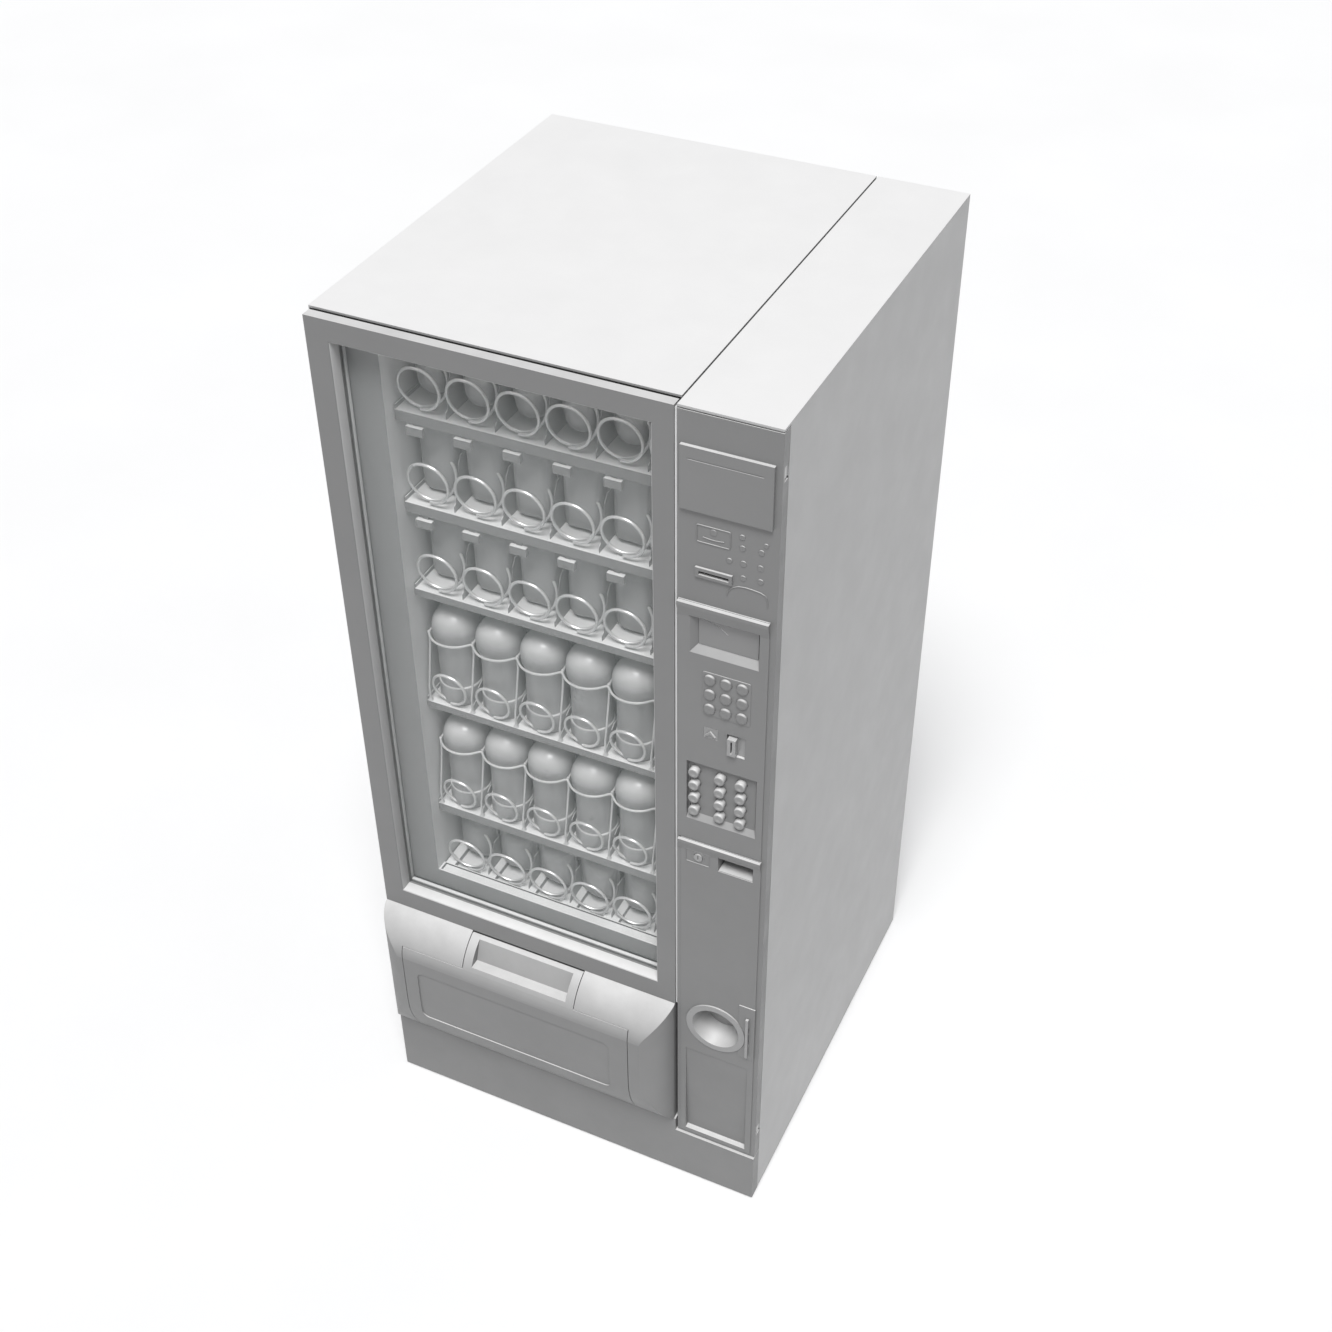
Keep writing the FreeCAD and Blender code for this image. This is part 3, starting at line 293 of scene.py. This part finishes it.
class Mesh:
    def __init__(self):
        self.v, self.f = [], []

    def add(self, verts, faces):
        k = len(self.v)
        self.v += [Vector(p) for p in verts]
        self.f += [tuple(i + k for i in f) for f in faces]

    def tube(self, pts, r, sides=10, closed=False, cap=True):
        """Round wire along points, with half-round ends."""
        pts = [Vector(p) for p in pts]
        n = len(pts)
        tang = []
        for i in range(n):
            a = pts[i - 1] if (i > 0 or closed) else pts[i]
            b = pts[(i + 1) % n] if (i < n - 1 or closed) else pts[i]
            tang.append((b - a).normalized())
        ref = Vector((0, 0, 1)) if abs(tang[0].z) < 0.9 else Vector((1, 0, 0))
        u = (ref - ref.dot(tang[0]) * tang[0]).normalized()
        rings, frames = [], []
        for i in range(n):
            if i:
                q = tang[i - 1].rotation_difference(tang[i])
                u = q @ u
                u = (u - u.dot(tang[i]) * tang[i]).normalized()
            w = tang[i].cross(u)
            frames.append((u.copy(), w))
        spec = []
        if cap and not closed:
            for a in (80, 55, 28):
                t = math.radians(a)
                spec.append((pts[0] - tang[0] * r * math.sin(t), frames[0], r * math.cos(t)))
        spec += [(pts[i], frames[i], r) for i in range(n)]
        if cap and not closed:
            for a in (28, 55, 80):
                t = math.radians(a)
                spec.append((pts[-1] + tang[-1] * r * math.sin(t), frames[-1], r * math.cos(t)))
        verts, faces = [], []
        for c, (uu, ww), rr in spec:
            for k in range(sides):
                t = 2 * math.pi * k / sides
                verts.append(c + uu * rr * math.cos(t) + ww * rr * math.sin(t))
        m = len(spec)
        for i in range(m if closed else m - 1):
            j = (i + 1) % m
            for k in range(sides):
                l = (k + 1) % sides
                faces.append((i * sides + k, i * sides + l, j * sides + l, j * sides + k))
        if not closed:
            faces.append(tuple(range(sides - 1, -1, -1)))
            faces.append(tuple((m - 1) * sides + k for k in range(sides)))
        self.add(verts, faces)

    def lathe(self, profile, centre, axis="z", seg=32, cap=True):
        """Profile of (radius, height) turned round an axis through centre."""
        verts, faces = [], []
        for r, h in profile:
            for k in range(seg):
                t = 2 * math.pi * k / seg
                c, s = r * math.cos(t), r * math.sin(t)
                p = {"z": (c, s, h), "y": (c, h, -s), "x": (h, c, s)}[axis]
                verts.append(centre + Vector(p))
        n = len(profile)
        for i in range(n - 1):
            for k in range(seg):
                l = (k + 1) % seg
                faces.append((i * seg + k, i * seg + l, (i + 1) * seg + l, (i + 1) * seg + k))
        if cap:
            faces.append(tuple(range(seg - 1, -1, -1)))
            faces.append(tuple((n - 1) * seg + k for k in range(seg)))
        self.add(verts, faces)

    def rbox(self, lo, hi, r, seg=3):
        """Box with every edge rounded."""
        bm = bmesh.new()
        bmesh.ops.create_cube(bm, size=1.0)
        lo, hi = Vector(lo), Vector(hi)
        for v in bm.verts:
            v.co = Vector(((lo[i] + hi[i]) / 2 + v.co[i] * (hi[i] - lo[i])) for i in range(3))
        bmesh.ops.bevel(bm, geom=list(bm.edges), offset=r, segments=seg, profile=0.5, affect="EDGES")
        bm.verts.index_update()
        self.add([v.co.copy() for v in bm.verts], [[v.index for v in f.verts] for f in bm.faces])
        bm.free()

    def plate(self, outline, y0, y1, r=0.0006, seg=2):
        """Outline in x, z (metres) between two depths, with rounded rims."""
        bm = bmesh.new()
        a = [bm.verts.new((x, y0, z)) for x, z in outline]
        b = [bm.verts.new((x, y1, z)) for x, z in outline]
        n = len(outline)
        f1 = bm.faces.new(a)
        f2 = bm.faces.new(list(reversed(b)))
        for i in range(n):
            bm.faces.new((a[i], b[i], b[(i + 1) % n], a[(i + 1) % n]))
        bmesh.ops.recalc_face_normals(bm, faces=bm.faces)
        if r:
            bmesh.ops.bevel(bm, geom=list(f1.edges), offset=r, segments=seg, profile=0.5, affect="EDGES")
        bmesh.ops.triangulate(bm, faces=[f for f in bm.faces if len(f.verts) > 4])
        bm.verts.index_update()
        self.add([v.co.copy() for v in bm.verts], [[v.index for v in f.verts] for f in bm.faces])
        bm.free()


def rrect(x0, x1, z0, z1, r, seg=6):
    pts = []
    for cx, cz, a0 in ((x1 - r, z1 - r, 0), (x0 + r, z1 - r, 90), (x0 + r, z0 + r, 180), (x1 - r, z0 + r, 270)):
        for k in range(seg + 1):
            t = math.radians(a0 + 90 * k / seg)
            pts.append((cx + r * math.cos(t), cz + r * math.sin(t)))
    return pts


def mm(pts):
    return [((x - 408.5) / 1000.0, z / 1000.0) for x, z in pts]


# ---------------------------------------------------------------- spirals
LANE = [157.5 + 90.4 * k for k in range(6)]
AXIS_Z = [1692.8, 1510.5, 1324.5, 1061.5, 802.5, 634.25]
FLOOR_Z = [1644.0, 1462.5, 1279.0, 1021.5, 761.7, 598.0]
COIL = [39.25, 39.25, 39.25, 34.5, 34.5, 40.0]
PITCH = [68.0, 68.0, 68.0, 94.0, 94.0, 68.0]
TURNS = [8, 8, 8, 6, 6, 8]
for row, names in ((0, None), (1, "snack_spirals"), (2, "snack_spirals"), (3, "bottle_spirals"), (4, "bottle_spirals"), (5, "deck_spirals")):
    if row in (0, 1, 3, 5):
        parts = [Mesh() for _ in range(6)] if row == 0 else [Mesh()]
    for k in range(6):
        target = parts[k] if row == 0 else parts[0]
        r, pitch, turns = COIL[row], PITCH[row], TURNS[row]
        pts, n = [], 28
        y0 = 68.0 if row == 5 else 66.0
        for i in range(n // 2, turns * n + 1):
            a = 360.0 * i / n
            if a <= 360.0:
                y = y0 + 8.0 - 8.0 * (a - 180.0) / 180.0
            elif a <= 540.0:
                y = y0 + 15.0 * (a - 360.0) / 180.0
            else:
                y = y0 + 15.0 + pitch * (a - 540.0) / 360.0
            t = math.radians(a)
            pts.append(P(LANE[k] - r * math.sin(t), y, AXIS_Z[row] + r * math.cos(t)))
        y_end = y0 + 15.0 + pitch * (turns * 360.0 - 540.0) / 360.0
        # the wire turns in to the hub
        pts += [P(LANE[k], y_end + 1.5, AXIS_Z[row] + r * f) for f in (0.82, 0.5, 0.15)]
        target.tube(pts, 0.00275, 8)
        target.lathe([(0.0044, 0.0), (0.0072, 0.0), (0.0080, 0.0008), (0.0080, 0.006), (0.0069, 0.008), (0.0069, 0.012), (0.0080, 0.014),
                      (0.0080, (660 - y_end + 6) / 1000 - 0.001), (0.0073, (660 - y_end + 6) / 1000),
                       (0.00406, (660 - y_end + 6) / 1000), (0.00406, (648 - y_end + 6) / 1000)],
                     P(LANE[k], y_end - 6, AXIS_Z[row]), "y", 20)
    if row == 0:
        for k in range(6):
            make("wire_1_%d" % (k + 1), parts[k].v, parts[k].f, M["spring_wire"], "spiral_%d" % (k + 1), 0.6, ("tray_1_spiral_%d" % (k + 1),))
    elif row in (2, 4, 5):
        make("wire_" + names, parts[0].v, parts[0].f, M["spring_wire"], "cabinet", 0.6, (names,))

# ---------------------------------------------------------------- bottle guards
g = Mesh()
for zr, fl in ((1168.0, 1021.5), (912.0, 761.7)):
    edges = [LANE[0] - 45.2 + 90.4 * k for k in range(7)]

    def rail_y(x):
        k = min(max(int(round((x - LANE[0]) / 90.4)), 0), 5)
        d = max(-45.2, min(45.2, x - LANE[k]))
        return 115.0 - math.sqrt(50.0 ** 2 - d * d)

    path = []
    x = edges[0] + 1.5
    x_end = edges[6] - 2.5
    n = 150
    for i in range(n + 1):
        xx = x + (x_end - x) * i / n
        path.append(P(xx, rail_y(xx), zr))
    for _ in range(2):
        path = [path[0]] + [(path[i - 1] + path[i] * 2 + path[i + 1]) / 4 for i in range(1, len(path) - 1)] + [path[-1]]
    g.tube(path, 0.0023, 8)
    for j, ex in enumerate(edges):
        xx = min(max(ex, x), x_end)
        yp = rail_y(xx)
        g.tube([P(xx, 73 + (yp - 73) * 0, fl + 1.0), P(xx, 73.0, fl + 30), P(xx, 73 + (yp - 73) * 0.5, fl + (zr - fl) * 0.5), P(xx, yp, zr - 24), P(xx, yp, zr - 1)], 0.0022, 8)
        g.lathe([(0.0001, -0.0036), (0.0026, -0.0026), (0.0037, 0), (0.0026, 0.0026), (0.0001, 0.0036)], P(xx, yp, zr), "z", 12, False)
        g.tube([P(xx, yp, zr), P(xx, yp + 8, zr + 1.5), P(xx, yp + 20, zr + 2.0)], 0.0022, 8)
        g.lathe([(0.0052, 0.0), (0.0048, 0.001), (0.0028, 0.0035), (0.0023, 0.006)], P(xx, 73, fl + 0.2), "z", 14)
make("wire_guards", g.v, g.f, M["spring_wire"], "cabinet", 0.7, ("bottle_wire_guards",))


# ---------------------------------------------------------------- goods
def bag(mesh, centre, w, h, t, seed, seal=5.0, tilt=0.0, nu=30, nv=22, top=2.6, bottom=2.2, disc=False, flat=2.4):
    """Filled pouch with pressed seams left and right. Centre is the middle of its foot, sizes in mm."""
    rnd = random.Random(seed)
    off = Vector((rnd.uniform(-50, 50), rnd.uniform(-50, 50), rnd.uniform(-50, 50)))
    verts, faces = [], []
    ct, st = math.cos(tilt), math.sin(tilt)
    lean = 0.0 if disc else rnd.uniform(-0.03, 0.03)
    for i in range(nu + 1):
        s = -1 + 2 * i / nu
        s = math.copysign(abs(s) ** 0.72, s)
        a = abs(s)
        x = s * w / 2
        edge = 1 - seal / (w / 2)
        if a >= edge:
            th = 0.55
            rib = 0.35 * math.sin(a * w * 1.6)
        else:
            th = max(0.55, t / 2 * (1 - (a / edge) ** flat) ** 0.62)
            rib = 0.0
        hh = h / 2 * (math.sqrt(max(0.03, 1 - a * a)) if disc else 1 - 0.03 * (1 - a) - (0.05 * a ** 6))
        for j in range(nv):
            p = 2 * math.pi * j / nv
            c, sn = math.cos(p), math.sin(p)
            ex = 2.0 / (top if sn > 0 else bottom)
            yy = th * math.copysign(abs(c) ** 0.85, c)
            zz = hh * math.copysign(abs(sn) ** ex, sn)
            q = Vector((x, yy, zz)) * 0.03 + off
            wr = noise.noise(Vector((q.x * 1.6, q.y, q.z * 0.7))) * 1.7 + noise.noise(q * 3.1) * 0.8
            amp = min(1.0, th / 6.0)
            yy += wr * amp * (1 if c >= 0 else -1) * 1.1 + rib
            zz += noise.noise(q * 1.3 + Vector((9, 3, 1))) * 2.0 * amp * (1 if sn > 0 else 0.3)
            xx = x + noise.noise(Vector((0, zz * 0.05, seed))) * 1.2 * a
            xx += lean * (zz + h / 2)
            verts.append((centre + Vector((xx * ct - yy * st, xx * st + yy * ct, zz + h / 2)) / 1000.0))
    for i in range(nu):
        for j in range(nv):
            l = (j + 1) % nv
            faces.append((i * nv + j, (i + 1) * nv + j, (i + 1) * nv + l, i * nv + l))
    faces.append(tuple(range(nv)))
    faces.append(tuple(nu * nv + j for j in range(nv - 1, -1, -1)))
    mesh.add(verts, faces)


def arc(cx, cy, r, a0, a1, n):
    return [(cx + r * math.cos(math.radians(a0 + (a1 - a0) * i / n)), cy + r * math.sin(math.radians(a0 + (a1 - a0) * i / n))) for i in range(n + 1)]


def cup_profile():
    """Tumbler with a foot band and a big domed lid, in metres from its foot."""
    pr = [(0.0, 0.0022), (0.030, 0.0022), (0.033, 0.0)] + [(0.0365 + x, y) for x, y in [(0.0, 0.0), (0.0028, 0.0009), (0.0042, 0.0030)]]
    pr += [(0.0408, 0.012), (0.0408, 0.0385), (0.0404, 0.0403), (0.0392, 0.0415), (0.0382, 0.0419), (0.0379, 0.0432), (0.0379, 0.070), (0.0378, 0.105), (0.0381, 0.1365)]
    pr += [(0.0392, 0.1385), (0.0428, 0.1405), (0.0440, 0.1430), (0.0443, 0.1465)]
    pr += [(x, y) for x, y in arc(0.0, 0.1600, 0.0450, -14, 86, 22)][1:]
    pr += [(0.0, 0.2050)]
    return pr


CUP = cup_profile()
for row in range(6):
    gm = Mesh()
    for k in range(6):
        rnd = random.Random(100 * row + k)
        if row in (3, 4):
            for j in range(4):
                gm.lathe(CUP, P(LANE[k], 115.5 + 94 * j, FLOOR_Z[row] + 0.4), "z", 36 if j < 2 else 20, False)
        elif row == 0:
            # small packs that lie in the hollow of the turning spiral
            for j in range(6):
                bag(gm, P(LANE[k], 118 + 68 * j + rnd.uniform(-2, 2), AXIS_Z[0] - 33.0), 66, 66, 40, 7 * row + 31 * k + j,
                    seal=3.0, top=2.0, bottom=2.0, disc=True, nu=30 if j < 2 else 16, nv=22 if j < 2 else 14)
        elif row in (1, 2):
            w0, h0 = 86 + rnd.uniform(-1, 1), (149, 146)[row - 1] + rnd.uniform(-5, 5)
            for j in range(6):
                bag(gm, P(LANE[k], 125 + 68 * j + rnd.uniform(-3, 3), FLOOR_Z[row] + 1.0), w0, h0, 50, 1000 * row + 37 * k + j,
                    tilt=rnd.uniform(-0.02, 0.02), top=4.0, bottom=3.0, flat=5.0, nu=36 if j < 2 else 18, nv=26 if j < 2 else 14)
        else:
            for j in range(6):
                bag(gm, P(LANE[k] + rnd.uniform(-1, 1), 124 + 68 * j + rnd.uniform(-3, 3), FLOOR_Z[row] + 1.0), 84, 94 + rnd.uniform(-5, 5), 50, 5000 + 41 * k + j,
                    top=2.1, bottom=3.0, nu=36 if j < 2 else 18, nv=26 if j < 2 else 14)
    make("goods_row_%d" % (row + 1), gm.v, gm.f, GOODS_CUP if row in (3, 4) else GOODS_FOIL, "cabinet", 0.9 if row in (3, 4) else True)

# ---------------------------------------------------------------- light bars inside the bay
lb = Mesh()
lb.rbox(P(647.5, 47, 625), P(655.5, 57, 1780), 0.002)
lb.rbox(P(115, 47, 1786), P(645, 59, 1794.5), 0.002)
make("bay_light_bars", lb.v, lb.f, LED_MAT, "cabinet", 0.7)

# ---------------------------------------------------------------- keys
key_pos = [(x, z) for z in (1122.0, 1093.0, 1064.0, 1035.0) for x in (680.0, 727.0, 764.5)]
kp = [(0.0, 0.0182), (0.0088, 0.0182), (0.0092, 0.0174), (0.00965, 0.0060), (0.00950, 0.0030)]
kp += [(0.0069 + x, y) for x, y in [(0.0024, 0.0013), (0.0017, 0.0005), (0.0007, 0.0001)]] + [(0.0060, 0.0), (0.0045, 0.0004), (0.0025, 0.0009), (0.0, 0.0011)]
for i in range(12):
    x, z = key_pos[i]
    lo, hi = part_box("key_%d" % (i + 1))
    c = Vector(((lo.x + hi.x) / 2, lo.y, (lo.z + hi.z) / 2))
    k = Mesh()
    k.lathe(kp, c, "y", 36, False)
    make("key_cap_%d" % (i + 1), k.v, k.f, M["key_plastic"], "key_%d" % (i + 1), 0.9, ("key_%d" % (i + 1),))

# ---------------------------------------------------------------- letter pad: nine domes on one thin mat
lp = Mesh()
lo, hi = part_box("letter_pad")
lp.plate(rrect(lo.x, hi.x, lo.z, hi.z, 0.004), hi.y - 0.0010, hi.y, 0.0004)
dome = [(0.0, 0.0052), (0.0108, 0.0052), (0.0108, 0.0046), (0.01035, 0.0040), (0.01010, 0.0022), (0.0094, 0.0010), (0.0080, 0.0003), (0.0062, 0.0), (0.0040, 0.00025), (0.0, 0.0005)]
for x in (707.5, 736.0, 764.5):
    for z in (1334.5, 1304.0, 1273.5):
        lp.lathe(dome, P(x, -7.5, z), "y", 36, False)
make("letter_domes", lp.v, lp.f, M["panel_plastic"], "column_door", 0.9, ("letter_pad",))

# raised coin studs, the outline of a blank note, and a curved rib on the payment column
rl = Mesh()
for x, z, r in ((756, 1626, 5.0), (795, 1622, 4.2), (757, 1606, 5.2), (788, 1607, 5.2), (736, 1577, 5.0), (759, 1578, 5.6), (787, 1578, 5.6), (759, 1551, 5.2), (788, 1553, 5.2)):
    rr = r / 1000.0
    rl.lathe([(0.0, 0.0024), (rr, 0.0024), (rr, 0.0014), (rr * 0.93, 0.0006), (rr * 0.80, 0.0002), (rr * 0.72, 0.0003), (rr * 0.60, 0.0007), (rr * 0.3, 0.0005), (0.0, 0.0004)], P(x, -1.7, z), "y", 28, False)
note = [P(x * 1000 + 408.5, -0.5, z * 1000) for x, z in rrect(*[v for v in ((681 - 408.5) / 1000, (737 - 408.5) / 1000, 1.598, 1.629)], 0.003, 4)]
rl.tube(note, 0.0010, 8, closed=True)
rl.tube([P(692 + 34 * i / 10, -0.5, 1608 - 1.5 * math.sin(math.pi * i / 10)) for i in range(11)], 0.0009, 8)
rl.lathe([(0.0, 0.0016), (0.0062, 0.0016), (0.0060, 0.0007), (0.0052, 0.0002), (0.0040, 0.0), (0.0, 0.0002)], P(709, -1.3, 1620), "y", 28, False)
hand = [(733, 1510), (735, 1520), (742, 1528), (752, 1533), (763, 1534.5), (775, 1534), (788, 1532.5), (797, 1529), (800, 1520), (800.5, 1508)]
rl.tube([P(x, -0.4, z) for x, z in hand], 0.0011, 8)
make("column_relief", rl.v, rl.f, M["door_paint"], "column_door", 0.8)

# display glare line, and the lock plaque with its ring
dp = Mesh()
dp.tube([P(687 + 46 * i / 12, 7.9, 1444 - 6 * (i / 12) ** 1 - 12 * (i / 12) ** 3) for i in range(13)], 0.0006, 8)
make("display_rib", dp.v, dp.f, M["key_plastic"], "column_door", 0.8)
pq = Mesh()
pq.tube([P(x * 1000 + 408.5, -2.1, z * 1000) for x, z in rrect((666 - 408.5) / 1000, (711 - 408.5) / 1000, 0.909, 0.9375, 0.0025, 4)], 0.0009, 8, closed=True)
pq.lathe([(0.0088, 0.0010), (0.0118, 0.0010), (0.0118, 0.0002), (0.0113, -0.0004), (0.0095, -0.0006), (0.0089, -0.0003), (0.0088, 0.0010)], P(690, -2.2, 925.5), "y", 32, False)
# painted light: pale plate on the pocket floor, a little above its bottom, standing in for light on the shaded floor
pq.plate([( (729.0 - 408.5) / 1000, 0.9072), ((791.5 - 408.5) / 1000, 0.9072), ((791.5 - 408.5) / 1000, 0.9080), ((729.0 - 408.5) / 1000, 0.9080)], P(0, -1.0, 0).y, P(0, 40.0, 0).y, 0.0)
make("service_trim", pq.v, pq.f, M["panel_plastic"], "column_door", 0.8)

# painted light: pale lining on the four reveals of the window, in front of the glass and behind it, standing in for
# light on the shaded reveals
glo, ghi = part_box("glass_gasket")
ring_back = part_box("main_door_frame")[1].y
rv = Mesh()
for ya, yb in ((P(0, 0.9, 0).y, glo.y - 0.0004), (P(0, 34.4, 0).y, ring_back - 0.0008)):
    rv.rbox((glo.x + 0.0001, ya, glo.z + 0.0020), (glo.x + 0.0013, yb, ghi.z - 0.0020), 0.0004, 2)
    rv.rbox((ghi.x - 0.0013, ya, glo.z + 0.0020), (ghi.x - 0.0001, yb, ghi.z - 0.0020), 0.0004, 2)
    rv.rbox((glo.x + 0.0001, ya, glo.z + 0.0001), (ghi.x - 0.0001, yb, glo.z + 0.0013), 0.0004, 2)
    rv.rbox((glo.x + 0.0001, ya, ghi.z - 0.0013), (ghi.x - 0.0001, yb, ghi.z - 0.0001), 0.0004, 2)
make("window_reveal", rv.v, rv.f, M["reveal"], "main_door", 0.8)

# painted light: a pale strip along the free edge of the main door, so the gap there reads as lit instead of shaded
es = Mesh()
es.rbox(P(643.7, 1.6, 514), P(647.6, 18, 1823), 0.0010, 2)
make("door_gap_light_strip", es.v, es.f, M["gap_light_strip"], "main_door", 0.8)

# ---------------------------------------------------------------- stage, light and camera
fm, fnt, fb = _mat("floor_pale")
ftc = fnt.nodes.new("ShaderNodeTexCoord").outputs["Object"]
fnt.links.new(_mix(fnt, _range(fnt, _noise(fnt, ftc, 1.5, 3.0), 0.0, 1.0), (0.90, 0.90, 0.90, 1), (0.92, 0.92, 0.92, 1)), fb.inputs["Base Color"])
fb.inputs["Roughness"].default_value = 0.9
fb.inputs["Specular IOR Level"].default_value = 0.1
bpy.ops.mesh.primitive_plane_add(size=60, location=(0, 0, -0.0005))
floor = bpy.context.object
floor.name = "studio_floor"
floor.data.materials.append(fm)
floor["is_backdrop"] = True

world = bpy.data.worlds.new("studio")
scene.world = world
world.use_nodes = True
world.node_tree.nodes["Background"].inputs[0].default_value = (0.96, 0.97, 1.0, 1)
world.node_tree.nodes["Background"].inputs[1].default_value = 0.24


def area(name, loc, target, size, power):
    d = bpy.data.lights.new(name, "AREA")
    d.shape = "RECTANGLE"
    d.size, d.size_y = size
    d.energy = power
    o = bpy.data.objects.new(name, d)
    scene.collection.objects.link(o)
    o.location = loc
    o.rotation_euler = (Vector(target) - Vector(loc)).to_track_quat("-Z", "Y").to_euler()
    return o


sun = bpy.data.lights.new("top_sun", "SUN")
sun.energy = 3.0
sun.angle = math.radians(24)
so = bpy.data.objects.new("top_sun", sun)
scene.collection.objects.link(so)
so.rotation_euler = Vector((-0.14, 0.42, -0.92)).to_track_quat("-Z", "Y").to_euler()
area("right_soft", (4.2, -0.6, 1.9), (0.4, 0, 1.0), (3.0, 2.5), 6)

cam = bpy.data.cameras.new("camera")
cam.lens, cam.sensor_width = 50.0, 36.0
co = bpy.data.objects.new("camera", cam)
scene.collection.objects.link(co)
az, el, ro = 0.445, 0.688, -0.006
fwd = Vector((-math.sin(az) * math.cos(el), math.cos(az) * math.cos(el), -math.sin(el)))
right = fwd.cross(Vector((0, 0, 1))).normalized()
up = right.cross(fwd)
r2 = right * math.cos(ro) + up * math.sin(ro)
u2 = -right * math.sin(ro) + up * math.cos(ro)
m = Matrix((r2, u2, -fwd)).transposed().to_4x4()
m.translation = Vector((1.212994, -2.471161, 3.229958))
co.matrix_world = m
cam.clip_start, cam.clip_end = 0.05, 100
scene.camera = co
scene.view_settings.view_transform = "Standard"
scene.view_settings.look = "None"

lo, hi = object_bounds()
